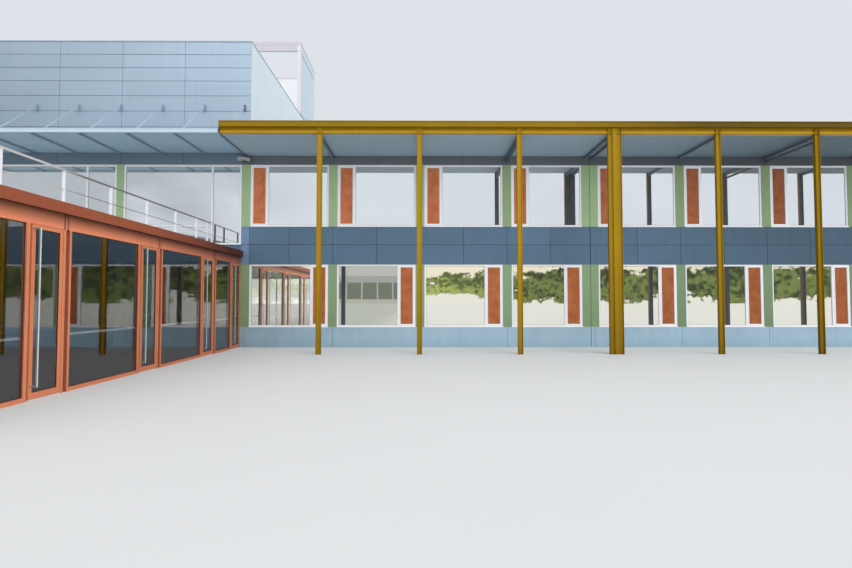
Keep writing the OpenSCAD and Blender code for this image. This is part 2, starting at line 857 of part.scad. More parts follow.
// A flat piece on each side of the lantern, between its posts
module lantern_side(s, inset, t, z0, z1) {
  p = lantern_post;
  if (s == 0) block([lantern_x + p, lantern_y + inset, z0],
    [lantern_x1 - p, lantern_y + inset + t, z1]);
  if (s == 1) block([lantern_x1 - inset - t, lantern_y + p, z0],
    [lantern_x1 - inset, lantern_y1 - p, z1]);
  if (s == 2) block([lantern_x + p, lantern_y1 - inset - t, z0],
    [lantern_x1 - p, lantern_y1 - inset, z1]);
  if (s == 3) block([lantern_x + inset, lantern_y + p, z0],
    [lantern_x + inset + t, lantern_y1 - p, z1]);
}

module lantern_rails() {
  color("mistyrose") {
    for (s = [0:3]) lantern_side(s, 0, 100, head_low, lantern_top - lantern_cap);
  }
}

module lantern_panels() {
  color("white") {
    for (s = [0, 2, 3]) lantern_side(s, 20, 80, hall_h, hall_h + panel_h);
  }
}

module lantern_glass() {
  color("lightcyan", 0.5) {
    for (s = [0, 2, 3]) lantern_side(s, 40, glass_t, hall_h + panel_h, head_low);
    lantern_side(1, 40, glass_t, hall_h, head_low);
  }
}

module lantern_roof() {
  color("mistyrose") {
    block([lantern_x, lantern_y, lantern_top - lantern_cap],
      [lantern_x1, lantern_y1, lantern_top]);
  }
}

// A lamp housing that widens from the arm to its front, tilted down by tilt degrees
module lamp_head(tilt) {
  back = lamp_h / 3;
  rotate([90, 0, 0]) linear_extrude(lamp_w, center = true) rotate(-tilt) polygon([
    [0, -back], [lamp_l, -lamp_h / 2], [lamp_l, lamp_h / 2], [0, back]]);
}

// Two small floodlights back to back on an arm above the corner pilaster
module floodlights() {
  bar = lamp_bar / 2;
  color("gainsboro") {
    block([start_x - bar, front_y - lamp_arm, lamp_z - bar], [start_x + bar, front_y, lamp_z + bar]);
    translate([start_x, front_y - lamp_arm, lamp_z]) {
      lamp_head(18);
      mirror([1, 0, 0]) lamp_head(4);
    }
  }
}

// A door leaf with its hinges and long pull handle, for the door of module m
module door_leaf(m) {
  y0 = leaf_y(m);
  y1 = y0 + leaf_w;
  pull_y = y0 + stile_w / 2;
  half = pull_w / 2;
  high = leaf_top - pull_drop;
  color("coral") {
    difference() {
      block([leaf_x, y0, leaf_bottom], [wing_x, y1, leaf_top]);
      block([leaf_x - eps, y0 + stile_w, leaf_bottom + foot_rail],
        [wing_x + eps, y1 - stile_w, leaf_top - stile_w]);
    }
    difference() {
      block([wing_x, pull_y - half, pull_low - half],
        [wing_x + pull_out + half, pull_y + half, high + half]);
      block([wing_x - eps, pull_y - pull_w, pull_low + half],
        [wing_x + pull_out - half, pull_y + pull_w, high - half]);
    }
    for (z = hinge_zs) knuckle(m, -1, z + knuckle_gap);
  }
}

module door_glass(m) {
  y0 = leaf_y(m);
  gx = wing_x - 42;
  color("lightcyan", 0.5) {
    block([gx, y0 + stile_w, leaf_bottom + foot_rail],
      [gx + glass_t, y0 + leaf_w - stile_w, leaf_top - stile_w]);
  }
}

ground_slab();
plinth();
pilasters();
spandrel();
lintel();
window_frames();
vent_panels();
window_glass();
upper_floor();
main_roof();
fascia();
eaves_beam();
columns();
rain_pipes();
rafters();
end_walls();
hall_cladding();
hall_sides();
hall_roof();
hall_frames();
hall_glass();
canopy();
canopy_ribs();
tie_rods();
wing_posts();
wing_rails();
wing_glass();
wing_fascia();
wing_roof();
guard_rails();
hinges_fixed();
railing();
lantern_posts();
lantern_rails();
lantern_glass();
lantern_panels();
lantern_roof();
floodlights();
door_leaf(0);  // door_leaf_1
door_leaf(1);  // door_leaf_2
door_leaf(2);  // door_leaf_3
door_leaf(modules);  // door_leaf_4
door_glass(0);  // door_glass_1
door_glass(1);  // door_glass_2
door_glass(2);  // door_glass_3
door_glass(modules);  // door_glass_4
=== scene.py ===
import math

import bmesh
import bpy
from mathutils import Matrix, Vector


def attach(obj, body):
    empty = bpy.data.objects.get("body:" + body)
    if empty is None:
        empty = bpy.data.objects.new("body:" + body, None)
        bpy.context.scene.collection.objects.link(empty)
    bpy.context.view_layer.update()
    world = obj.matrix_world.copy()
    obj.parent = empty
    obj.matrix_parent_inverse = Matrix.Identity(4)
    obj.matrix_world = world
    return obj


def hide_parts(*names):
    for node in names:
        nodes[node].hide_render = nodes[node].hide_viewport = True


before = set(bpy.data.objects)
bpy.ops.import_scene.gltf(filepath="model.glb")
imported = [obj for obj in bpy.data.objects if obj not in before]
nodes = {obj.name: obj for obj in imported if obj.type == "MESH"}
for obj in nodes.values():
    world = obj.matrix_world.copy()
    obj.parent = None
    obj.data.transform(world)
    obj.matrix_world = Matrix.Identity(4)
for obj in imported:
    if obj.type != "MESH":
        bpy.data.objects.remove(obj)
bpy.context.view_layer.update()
scene = bpy.context.scene

X, Y, Z = 0, 1, 2

# Sizes of the building in metres, as in the part's source.
# The window bays' lines, the main walls' outer faces and their thickness, and half the width of a pilaster
BAY = 3.0
LINES = [-6.0 + BAY * i for i in range(9)]
FRONT, REAR, WALL, HALF_POST = 2.14, 12.9, 0.3, 0.15
MAIN_LEFT, END_X = -6.15, 18.15
# The open joint in the main walls: its middle, its two sides and the end of the short window before it
JOINT_X, JOINT_L, JOINT_R, SHORT_END = 5.87, 5.86, 5.88, 5.59
# Heights of the bands, each named after what ends there, of the row between the spandrel's panels and of the roof
PLINTH, LOW_TOP, UP_SILL, UP_TOP, SOFFIT = 0.69, 2.83, 4.14, 6.28, 6.59
SPAN_ROW, MAIN_ROOF = 3.51, 6.88
MID_Z = 3.6    # a height between the two rows of windows
# The columns' axes, and a distance from them between the inner and the outer side of a flange
COLUMN_XS, FLANGE = [-3.0, 0.0, 3.0, 5.74, 6.0, 9.0, 12.0, 15.0, 18.0], 0.07
# Windows: width and height, frame, the wide frame round the vent panel, and the vent panel itself
WINDOW_W, WINDOW_H, FRAME_W, VENT_IN, VENT_W = 2.7, 2.14, 0.05, 0.1, 0.42
# The hall: its sides, top and window bay, and its windows' sill, crossbar, frame and half post
HALL_LEFT, HALL_RIGHT, HALL_TOP, HALL_BAY = -19.15, -5.87, 10.615, 4.33
HALL_SILL, CROSSBAR, HALL_FRAME, HALL_POST = 3.505, 4.165, 0.06, 0.1225
# The canopy: right end, underside, top, its deeper front edge from and to, the tie rods' feet and their wall pins
CANOPY_END, CANOPY_UNDER, CANOPY_TOP, EDGE_LOW, EDGE_TOP = -6.05, 6.69, 6.73, 6.62, 6.74
FOOT_Y, PIN_Z = 0.34, 8.245
# The lantern on the hall's roof: its sides, the top of its blank panels, and the head rail and cap above the glass
LANTERN_LEFT, LANTERN_FRONT, LANTERN_REAR = -8.87, 8.65, 11.65
PANEL_TOP, HEAD_LINE, CAP_LINE = 12.4, 13.755, 14.045
# The glazed wing: its outer, inner and near faces, its posts' depth, its modules' far lines and its heights
WING_X, WING_IN, NEAR_Y, WING_POST = -6.15, -6.23, -8.755, 0.08
FAR_YS = [-5.8, -2.845, 0.11, 2.143]
SILL_TOP, HEAD_Z, HEAD_TOP, CEILING, TERRACE = 0.07, 2.83, 3.1, 2.95, 3.25
# Its door leaves: width, stile, distance from the hinge edge to the module's far line, and each one's lock edge
LEAF_W, STILE, HINGE_IN = 0.65, 0.065, 0.069
LOCKS = [f - HINGE_IN - LEAF_W for f in FAR_YS]


# Materials
def lin(r, g, b):
    """Display colour 0 to 255 to the linear colour that a shader takes."""
    out = []
    for c in (r, g, b):
        c /= 255.0
        out.append(c / 12.92 if c <= 0.04045 else ((c + 0.055) / 1.055) ** 2.4)
    return tuple(out)


class Tree:
    """Short calls for building one material's nodes."""

    def __init__(self, name):
        self.mat = bpy.data.materials.new(name)
        self.mat.use_nodes = True
        self.t = self.mat.node_tree
        self.t.nodes.clear()
        out = self.add("ShaderNodeOutputMaterial")
        self.bsdf = self.add("ShaderNodeBsdfPrincipled")
        self.link(self.bsdf.outputs[0], out.inputs[0])
        self.co = self.add("ShaderNodeTexCoord").outputs["Object"]

    def add(self, kind, **kw):
        n = self.t.nodes.new(kind)
        for k, v in kw.items():
            setattr(n, k, v)
        return n

    def link(self, a, b):
        self.t.links.new(a, b)

    def put(self, socket, value):
        """Links an output to a socket, or sets the socket to a constant."""
        if hasattr(value, "is_output"):
            self.link(value, socket)
        else:
            socket.default_value = value

    def scaled(self, x, y, z):
        n = self.add("ShaderNodeMapping")
        n.inputs["Scale"].default_value = (x, y, z)
        self.link(self.co, n.inputs[0])
        return n.outputs[0]

    def noise(self, scale, detail=3.0, rough=0.55, stretch=(1, 1, 1), distort=0.0):
        n = self.add("ShaderNodeTexNoise")
        self.link(self.scaled(*stretch), n.inputs["Vector"])
        n.inputs["Scale"].default_value = scale
        n.inputs["Detail"].default_value = detail
        n.inputs["Roughness"].default_value = rough
        n.inputs["Distortion"].default_value = distort
        return n.outputs["Fac"]

    def math(self, op, a, b=0.0, c=0.0):
        n = self.add("ShaderNodeMath", operation=op)
        self.put(n.inputs[0], a)
        self.put(n.inputs[1], b)
        self.put(n.inputs[2], c)
        return n.outputs[0]

    def range(self, x, a, b, lo, hi):
        """Maps x from a to b onto lo to hi, and no further."""
        n = self.add("ShaderNodeMapRange")
        n.clamp = True
        self.link(x, n.inputs[0])
        for i, v in enumerate((a, b, lo, hi)):
            n.inputs[i + 1].default_value = v
        return n.outputs[0]

    def mix(self, fac, a, b):
        n = self.add("ShaderNodeMix", data_type="RGBA")
        self.put(n.inputs[0], fac)
        self.put(n.inputs[6], (*a, 1) if isinstance(a, tuple) else a)
        self.put(n.inputs[7], (*b, 1) if isinstance(b, tuple) else b)
        return n.outputs[2]

    def bright(self, colour, factor):
        """Colour times a number that varies over the surface."""
        n = self.add("ShaderNodeVectorMath", operation="SCALE")
        self.put(n.inputs[0], colour)
        self.link(factor, n.inputs[3])
        return n.outputs[0]

    def axis(self, i):
        """The place along the part's X, Y or Z."""
        n = self.add("ShaderNodeSeparateXYZ")
        self.link(self.co, n.inputs[0])
        return n.outputs[i]

    def cell(self, px, pz, ox=0.0, oz=0.0):
        """A random number for each panel of a grid on the wall, of pitch px and pz from ox and oz."""
        depth = 2.2    # so that the front and rear walls lie in different cells
        v = self.add("ShaderNodeCombineXYZ")
        for socket, axis, start, pitch in zip(v.inputs, (X, Z, Y), (ox, oz, 0.0), (px, pz, depth)):
            place = self.math("SUBTRACT", self.axis(axis), start)
            self.link(self.math("FLOOR", self.math("DIVIDE", place, pitch)), socket)
        w = self.add("ShaderNodeTexWhiteNoise", noise_dimensions="3D")
        self.link(v.outputs[0], w.inputs["Vector"])
        return w.outputs["Value"]

    def bump(self, height, strength, distance):
        n = self.add("ShaderNodeBump")
        n.inputs["Strength"].default_value = strength
        n.inputs["Distance"].default_value = distance
        self.link(height, n.inputs["Height"])
        self.link(n.outputs[0], self.bsdf.inputs["Normal"])


M = {}    # the materials by name, as paint() and pane() enter them


def paint(name, colour, rough=0.45, vary=0.06, scale=0.8, streak=0.0, grain=0.0, panels=None, panel_vary=0.05,
          foot=0.0, bump=0.15, bump_scale=60.0, metal=0.0, coat=0.0, tint=None, tint_amount=0.0, spec=0.5,
          fades=(), ribs=None):
    """Painted or sealed surface: blotches, rain streaks, grain, a tone for each panel, a dirty foot, slow fades of
    painted light and shade, each given as an axis, two places on it and the factors there, and the painted light and
    shade of flat ribs of a pitch and depth."""
    foot_top, bump_depth = 0.35, 0.002
    t = Tree(name)
    f = t.range(t.noise(scale, 4.0), 0.3, 0.7, 1 - vary, 1 + vary)
    if streak:
        s = t.noise(1.0, 5.0, 0.6, stretch=(7.0, 7.0, 0.35))
        f = t.math("MULTIPLY", f, t.range(s, 0.35, 0.7, 1 + streak * 0.4, 1 - streak))
    if grain:
        g = t.noise(1.0, 6.0, 0.65, stretch=(70.0, 70.0, 1.6), distort=0.4)
        f = t.math("MULTIPLY", f, t.range(g, 0.3, 0.7, 1 + grain, 1 - grain))
    if panels:
        f = t.math("MULTIPLY", f, t.range(t.cell(*panels), 0, 1, 1 - panel_vary, 1 + panel_vary))
    if foot:
        f = t.math("MULTIPLY", f, t.range(t.axis(Z), 0.0, foot_top, 1 - foot, 1.0))
    # Fades of painted light and shade
    for axis, *ramp in fades:
        f = t.math("MULTIPLY", f, t.range(t.axis(axis), *ramp))
    # Ribs as painted light and shade: the brightness rises and falls in a wave up the surface
    if ribs:
        pitch, depth = ribs
        wave = t.math("SINE", t.math("MULTIPLY", t.axis(Z), 2 * math.pi / pitch))
        f = t.math("MULTIPLY", f, t.range(wave, -1.0, 1.0, 1 - depth, 1 + depth))
    base = colour
    if tint:
        base = t.mix(t.range(t.noise(scale * 2.7, 5.0), 0.4, 0.65, 0.0, tint_amount), colour, tint)
    t.link(t.bright(base, f), t.bsdf.inputs["Base Color"])
    r = t.noise(scale * 6, 4.0)
    t.link(t.range(r, 0.3, 0.7, rough - 0.07, rough + 0.07), t.bsdf.inputs["Roughness"])
    t.bsdf.inputs["Metallic"].default_value = metal
    t.bsdf.inputs["Specular IOR Level"].default_value = spec
    t.bsdf.inputs["Coat Weight"].default_value = coat
    t.bsdf.inputs["Coat Roughness"].default_value = 0.2
    if bump:
        t.bump(t.noise(bump_scale, 3.0, stretch=(1, 1, 0.25) if grain else (1, 1, 1)), bump, bump_depth)
    M[name] = t.mat


def pane(name, colour, metal, rough, clear, ior=1.5, wave=0.02):
    """Window glass: mostly a mirror where metal is high, see-through where it is low."""
    t = Tree(name)
    f = t.range(t.noise(0.6, 3.0), 0.3, 0.7, 0.97, 1.0)
    t.link(t.bright(colour, f), t.bsdf.inputs["Base Color"])
    t.link(t.range(t.noise(3.0, 4.0), 0.35, 0.75, rough, rough + 0.03), t.bsdf.inputs["Roughness"])
    t.bsdf.inputs["Metallic"].default_value = metal
    t.bsdf.inputs["Transmission Weight"].default_value = clear
    t.bsdf.inputs["IOR"].default_value = ior
    t.bump(t.noise(0.9, 1.0, stretch=(1, 1, 0.8)), wave, 0.02)
    M[name] = t.mat


# The fades set the light and shade that the photo shows. Of the columns the two at the joint are darker, and of
# the upper pilasters the one at X = 3.
COLUMN_SHADE = [(X, 5.4, 5.6, 1.0, 0.8), (X, 6.2, 6.5, 1.0, 1.15), (X, 7.0, 12.5, 1.0, 0.72)]

paint("inside", lin(120, 122, 124), 0.8, 0.06, 0.5, bump=0.2, bump_scale=25)
# Painted shade: the ground slab is dark so that the unlit rooms behind the glass look dark
paint("inside_shade", lin(74, 78, 82), 0.8, 0.06, 0.5, bump=0.2, bump_scale=25)
paint("ceiling", lin(176, 178, 172), 0.8, 0.04, 0.5, bump=0.1)
paint("roofing", lin(176, 179, 180), 0.85, 0.09, 0.35, bump=0.35, bump_scale=40,
      tint=lin(148, 150, 148), tint_amount=0.6)
paint("decking", lin(214, 214, 210), 0.85, 0.06, 0.5, bump=0.3, bump_scale=40)
paint("plinth", lin(162, 191, 208), 0.5, 0.05, 0.7, streak=0.04, panels=(BAY, 1.0), panel_vary=0.02,
      foot=0.1, bump=0.2, bump_scale=30, tint=lin(176, 202, 214), tint_amount=0.5,
      fades=[(X, -5.0, -1.5, 0.84, 1.0)])
paint("plinth_joint", lin(92, 112, 124), 0.7, 0.04, 1.0)
# Painted light: the upper pilasters' green is a lighter copy of the lower one, to make up for the deeper shade under
# the eaves
paint("green_up", lin(166, 192, 144), 0.5, 0.03, 1.0, grain=0.03, spec=0.3,
      fades=[(X, 2.7, 2.8, 1.0, 0.82), (X, 3.2, 3.3, 1.0, 1.22), (X, 6.5, 9.0, 1.0, 0.72)])
paint("green_low", lin(142, 168, 127), 0.5, 0.03, 1.0, grain=0.03, spec=0.3,
      fades=[(X, 6.5, 9.0, 1.0, 0.82), (Z, 0.8, 2.2, 0.88, 1.0)])
paint("green_joint", lin(84, 108, 76), 0.7, 0.04, 1.0)
paint("spandrel", lin(91, 119, 142), 0.42, 0.07, 0.9, streak=0.05,
      panels=(BAY / 2, 0.68, 0.0, LOW_TOP), panel_vary=0.05, spec=0.35,
      fades=[(X, 7.5, 12.0, 1.0, 0.72)])
paint("spandrel_pale", lin(115, 144, 174), 0.42, 0.05, 0.9, streak=0.04)
paint("joint", lin(26, 33, 42), 0.8, 0.05, 2.0)
paint("lintel", lin(102, 110, 116), 0.45, 0.05, 1.1, panels=(BAY / 2, 5.0), panel_vary=0.04,
      fades=[(X, 4.0, 8.0, 1.0, 0.75)])
paint("lintel_hall", lin(112, 127, 141), 0.45, 0.05, 1.1, panels=(HALL_BAY, 5.0), panel_vary=0.04)
paint("white", lin(252, 251, 253), 0.35, 0.01, 1.5, streak=0.01, coat=0.2, bump=0.05)
# Painted shade: the grey of the inner bead rings stands for the shade where the white frames meet the glass and the
# vent panels
paint("bead", lin(150, 153, 158), 0.4, 0.03, 2.0, bump=0.05)
# Painted light: the upper vents' terracotta is a lighter copy of the lower one, to make up for the deeper shade under
# the eaves
paint("terracotta_up", lin(218, 132, 88), 0.6, 0.05, 1.2, grain=0.10, tint=lin(190, 94, 49),
      tint_amount=0.6, bump=0.35, bump_scale=18, spec=0.25, fades=[(X, 1.5, 12.0, 1.0, 0.55)])
paint("terracotta_low", lin(195, 117, 70), 0.6, 0.05, 1.2, grain=0.10, tint=lin(172, 82, 36),
      tint_amount=0.6, bump=0.35, bump_scale=18, spec=0.25, fades=[(X, 4.0, 9.0, 1.0, 0.8)])
paint("gasket", lin(38, 40, 43), 0.6, 0.05, 3.0)
paint("soffit", lin(168, 192, 209), 0.6, 0.03, 0.6, panels=(BAY / 2, 50.0), panel_vary=0.02, spec=0.3,
      fades=[(X, 4.0, 12.0, 1.0, 0.45)])
paint("ochre", lin(149, 118, 12), 0.45, 0.04, 1.3, streak=0.05, coat=0.05, bump=0.08, spec=0.15,
      fades=[(X, 4.5, 8.5, 1.0, 0.43)])
paint("yellow", lin(184, 145, 10), 0.42, 0.04, 1.6, streak=0.04, foot=0.08, coat=0.06, bump=0.06,
      spec=0.15, fades=COLUMN_SHADE + [(Z, 0.3, 3.2, 0.72, 1.0)])
# Painted shadow: the beam darkens along its top, under the fascia
paint("beam", lin(206, 160, 10), 0.42, 0.04, 1.6, streak=0.04, coat=0.06, bump=0.06, spec=0.15,
      fades=[(Z, 6.69, 6.72, 1.0, 0.55)])
# Painted shade: a darker copy of the yellow for the flanges' outer sides
paint("yellow_side_shade", lin(150, 118, 14), 0.42, 0.04, 1.6, streak=0.04, foot=0.08, bump=0.06,
      spec=0.15, fades=COLUMN_SHADE + [(Z, 0.3, 3.2, 0.76, 1.0)])
paint("steel_back", lin(84, 90, 102), 0.5, 0.04, 1.5, bump=0.06)
paint("beam_back", lin(206, 200, 190), 0.5, 0.04, 1.5, bump=0.06)
paint("coping", lin(158, 174, 188), 0.4, 0.05, 1.2, bump=0.05)
paint("dark_steel", lin(84, 96, 106), 0.5, 0.05, 1.5, bump=0.1)
paint("rafter", lin(112, 128, 140), 0.5, 0.05, 1.5, bump=0.1)
paint("rib", lin(134, 158, 178), 0.5, 0.05, 1.5, bump=0.1)
paint("fin", lin(146, 164, 180), 0.5, 0.05, 1.5, bump=0.1)
paint("cladding", lin(170, 187, 202), 0.36, 0.035, 0.35, streak=0.03, metal=0.15,
      panels=(HALL_BAY / 2, 0.5, HALL_RIGHT, SOFFIT), panel_vary=0.025,
      fades=[(X, -16.0, -5.9, 0.765, 1.185), (Z, 7.4, 10.6, 0.885, 1.075)], ribs=(0.088, 0.012))
paint("render", lin(234, 246, 252), 0.7, 0.03, 0.5, streak=0.035, bump=0.25, bump_scale=45)
paint("canopy", lin(198, 216, 231), 0.4, 0.03, 0.8, streak=0.04, bump=0.06)
paint("canopy_under", lin(168, 198, 222), 0.45, 0.04, 0.7, bump=0.06, spec=0.3)
paint("steel", lin(238, 240, 244), 0.35, 0.03, 2.0, coat=0.2, bump=0.05)
paint("rod", lin(194, 210, 224), 0.35, 0.03, 2.0, coat=0.2, bump=0.05, fades=[(Z, 7.3, 7.9, 1.0, 0.76)])
# Painted shade: the rails darken towards the wall, and the railing's faces that look at the wall are dark
paint("rail", lin(214, 214, 210), 0.4, 0.04, 2.0, bump=0.05, fades=[(Y, -4.9, -3.9, 1.0, 0.3)])
paint("rail_shade", lin(66, 68, 70), 0.4, 0.05, 2.0, bump=0.05)
# Painted shade on the near sides of the door pull handles
paint("handle_side_shade", lin(126, 130, 124), 0.4, 0.05, 2.0, bump=0.05)
paint("lamp_grey", lin(176, 178, 181), 0.4, 0.04, 2.0, bump=0.05)
paint("lens", lin(150, 156, 162), 0.12, 0.05, 6.0, metal=0.6, coat=1.0, bump=0.0)
# Painted light and shade: the wing's orange is lighter at its near end and darker towards the main wall
paint("orange", lin(224, 136, 96), 0.42, 0.035, 1.4, streak=0.03, foot=0.05, coat=0.1, bump=0.08,
      spec=0.25, fades=[(Y, -6.5, -3.0, 1.18, 1.0), (Y, -1.0, 2.0, 1.0, 0.85)])
# Painted light and shadow: the head rail is lighter at its foot, dark at its top in the fascia's shadow, and darker
# towards the wall
paint("orange_head", lin(224, 134, 98), 0.42, 0.035, 1.4, streak=0.03, coat=0.1, bump=0.08,
      spec=0.25, fades=[(Z, 2.86, 3.07, 1.3, 0.34), (Y, -4.0, 1.0, 1.0, 0.5)])
paint("post_back", lin(150, 154, 156), 0.45, 0.05, 1.5, bump=0.06)
paint("orange_shade", lin(180, 108, 80), 0.6, 0.05, 1.4, bump=0.08, spec=0.15)
# Painted shade: the wing's fascia darkens towards the main wall
paint("brown", lin(170, 92, 63), 0.45, 0.05, 1.2, streak=0.07, bump=0.1, spec=0.25,
      fades=[(Y, -3.5, 1.2, 1.0, 0.27)])
# Painted shade: the fascia's underside, and strips beside the joint covers in the head rail
paint("brown_shade", lin(96, 46, 34), 0.6, 0.05, 1.2, bump=0.1, spec=0.15)
paint("lantern", lin(214, 210, 216), 0.45, 0.02, 1.0, streak=0.02, bump=0.06)
paint("lantern_post", lin(238, 232, 236), 0.45, 0.02, 1.0, streak=0.02, bump=0.06)
paint("lantern_panel", lin(246, 247, 248), 0.5, 0.015, 1.0, streak=0.015, bump=0.05)
paint("lantern_line", lin(204, 200, 208), 0.5, 0.03, 2.0)
pane("mirror", (0.95, 0.93, 0.89), 0.93, 0.0, 0.15)
pane("mirror_low", (0.93, 0.93, 0.90), 0.95, 0.0, 0.15)
pane("hall_glass", (0.94, 0.93, 0.89), 0.88, 0.0, 0.15, wave=0.04)
pane("wing_glass", (0.94, 0.96, 0.97), 0.0, 0.0, 1.0, ior=2.0)
# Painted reflection: the lantern's right-hand glass, panels and rails are an opaque pale cyan, the tone of the sky
# that the glass mirrors
paint("lantern_side", lin(210, 229, 237), 0.4, 0.02, 1.0, bump=0.05)
pane("lantern_glass", (1.0, 0.965, 0.94), 0.75, 0.02, 0.2)


def dress(node, *names):
    """Gives a CAD node its material; more names are extra slots for faces()."""
    mesh = nodes[node].data
    mesh.materials.clear()
    for n in names:
        mesh.materials.append(M[n])


def faces(node, slot, test):
    """Puts the faces of a CAD node whose centre and normal pass the test on another material slot."""
    for p in nodes[node].data.polygons:
        if test(p.center, p.normal):
            p.material_index = slot


def looks(axis, sign=1):
    """A test for the faces that look along an axis."""
    return lambda c, n: sign * n[axis] > 0.5


def off_axis(c):
    """How far a place lies from the nearest column's axis."""
    return min(abs(c.x - x) for x in COLUMN_XS)


def column_back(c, n):
    """The columns' rear faces, and their flanges' inner sides behind the web."""
    return n.y > 0.5 or (abs(n.x) > 0.5 and abs(n.z) < 0.5 and 0.01 < c.y < 0.049 and off_axis(c) < FLANGE)


def column_side(c, n):
    """The outer sides of the columns' flanges."""
    return abs(n.x) > 0.9 and off_axis(c) > FLANGE


def post_shade(c, n):
    """The bottoms of the wing posts' rebates, and the posts' sides next to the outer face."""
    return (n.x > 0.5 and c.x < WING_X - 0.03) or (abs(n.y) > 0.5 and c.x > WING_X - 0.035)


# The materials of each CAD node's slots
DRESS = {
    "ground_slab": ["inside_shade"],
    "plinth": ["plinth"],
    "pilasters": ["green_low", "green_up"],
    "spandrel": ["spandrel"],
    "lintel": ["lintel"],
    "window_frames": ["white"],
    "vent_panels": ["terracotta_low"],
    "window_glass": ["mirror", "mirror_low"],
    "upper_floor": ["inside"],
    "main_roof": ["soffit", "roofing", "coping"],
    "fascia": ["ochre", "beam_back"],
    "eaves_beam": ["beam", "beam_back"],
    "columns": ["yellow", "steel_back", "yellow_side_shade"],
    "rain_pipes": ["yellow", "dark_steel"],
    "rafters": ["rafter"],
    "end_walls": ["plinth"],
    "hall_cladding": ["cladding"],
    "hall_sides": ["render"],
    "hall_roof": ["roofing"],
    "hall_frames": ["white"],
    "hall_glass": ["hall_glass"],
    "canopy": ["canopy", "canopy_under"],
    "canopy_ribs": ["rib", "dark_steel", "fin"],
    "tie_rods": ["rod"],
    "wing_posts": ["orange", "orange_shade", "post_back"],
    "wing_rails": ["orange", "orange_head"],
    "wing_glass": ["wing_glass"],
    "wing_fascia": ["brown", "brown_shade"],
    "wing_roof": ["ceiling", "decking"],
    "guard_rails": ["white"],
    "hinges_fixed": ["orange"],
    "railing": ["steel", "rail_shade", "rail"],
    "lantern_posts": ["lantern_post"],
    "lantern_rails": ["lantern", "lantern_panel", "lantern_side"],
    "lantern_glass": ["lantern_glass", "lantern_side"],
    "lantern_panels": ["lantern_panel", "lantern_side"],
    "lantern_roof": ["lantern", "roofing"],
    "floodlights": ["lamp_grey", "lens"],
}
# Faces that take a later slot: the node, the slot and a test of a face's centre and normal. A later line wins.
SLOTS = [
    ("pilasters", 1, lambda c, n: c.z > MID_Z),
    ("window_glass", 1, lambda c, n: c.z < MID_Z),
    ("main_roof", 1, looks(Z)),
    ("main_roof", 2, lambda c, n: abs(n.z) < 0.5),
    ("fascia", 1, looks(Y)),
    ("eaves_beam", 1, looks(Y)),
    ("columns", 1, column_back),
    # The flanges' outer sides, in painted shade
    ("columns", 2, column_side),
    ("rain_pipes", 1, lambda c, n: abs(c.x - JOINT_X) > 0.2 or n.y > 0.5),
    ("wing_roof", 1, looks(Z)),
    # The fascia's underside, in painted shade
    ("wing_fascia", 1, looks(Z, -1)),
    ("wing_rails", 1, lambda c, n: c.z > HEAD_Z - 0.03 and n.z > -0.5),
    ("wing_posts", 1, post_shade),
    ("wing_posts", 2, looks(Y)),
    # Painted light: the rails' undersides take the panels' brighter white, to lighten their shade
    ("lantern_rails", 1, looks(Z, -1)),
    # The lantern's right-hand faces, painted with the sky's reflection
    ("lantern_rails", 2, lambda c, n: n.x > 0.5 and c.z > PANEL_TOP + 0.1),
    ("lantern_glass", 1, looks(X)),
    ("lantern_panels", 1, looks(X)),
    ("lantern_roof", 1, looks(Z)),
    ("canopy", 1, looks(Z, -1)),
    ("canopy_ribs", 1, lambda c, n: c.z > CANOPY_TOP),
    ("canopy_ribs", 2, lambda c, n: c.z > CANOPY_TOP and c.x < CANOPY_END - 0.95),
    ("floodlights", 1, lambda c, n: abs(n.x) > 0.9 and abs(c.x - LINES[0]) > 0.15),
    # The railing's faces that look at the wall, in painted shade
    ("railing", 1, looks(Y)),
]
for node, names in DRESS.items():
    dress(node, *names)
for node, slot, test in SLOTS:
    faces(node, slot, test)
for k, lock in enumerate(LOCKS, 1):
    leaf = f"door_leaf_{k}"
    dress(leaf, "orange", "steel", "handle_side_shade", "post_back")
    dress(f"door_glass_{k}", "wing_glass")
    faces(leaf, 3, looks(Y))
    # The pull handle, and then its near side, in painted shade
    faces(leaf, 1, lambda c, n: c.x > WING_X + 0.002 and c.y < lock + 0.07)
    faces(leaf, 2, lambda c, n: c.x > WING_X + 0.002 and c.y < lock + 0.07 and n.y < -0.5)
# The long rails of the railing
railing = nodes["railing"].data
for p in railing.polygons:
    ys = [railing.vertices[v].co.y for v in p.vertices]
    if max(ys) - min(ys) > 0.2:
        p.material_index = 2


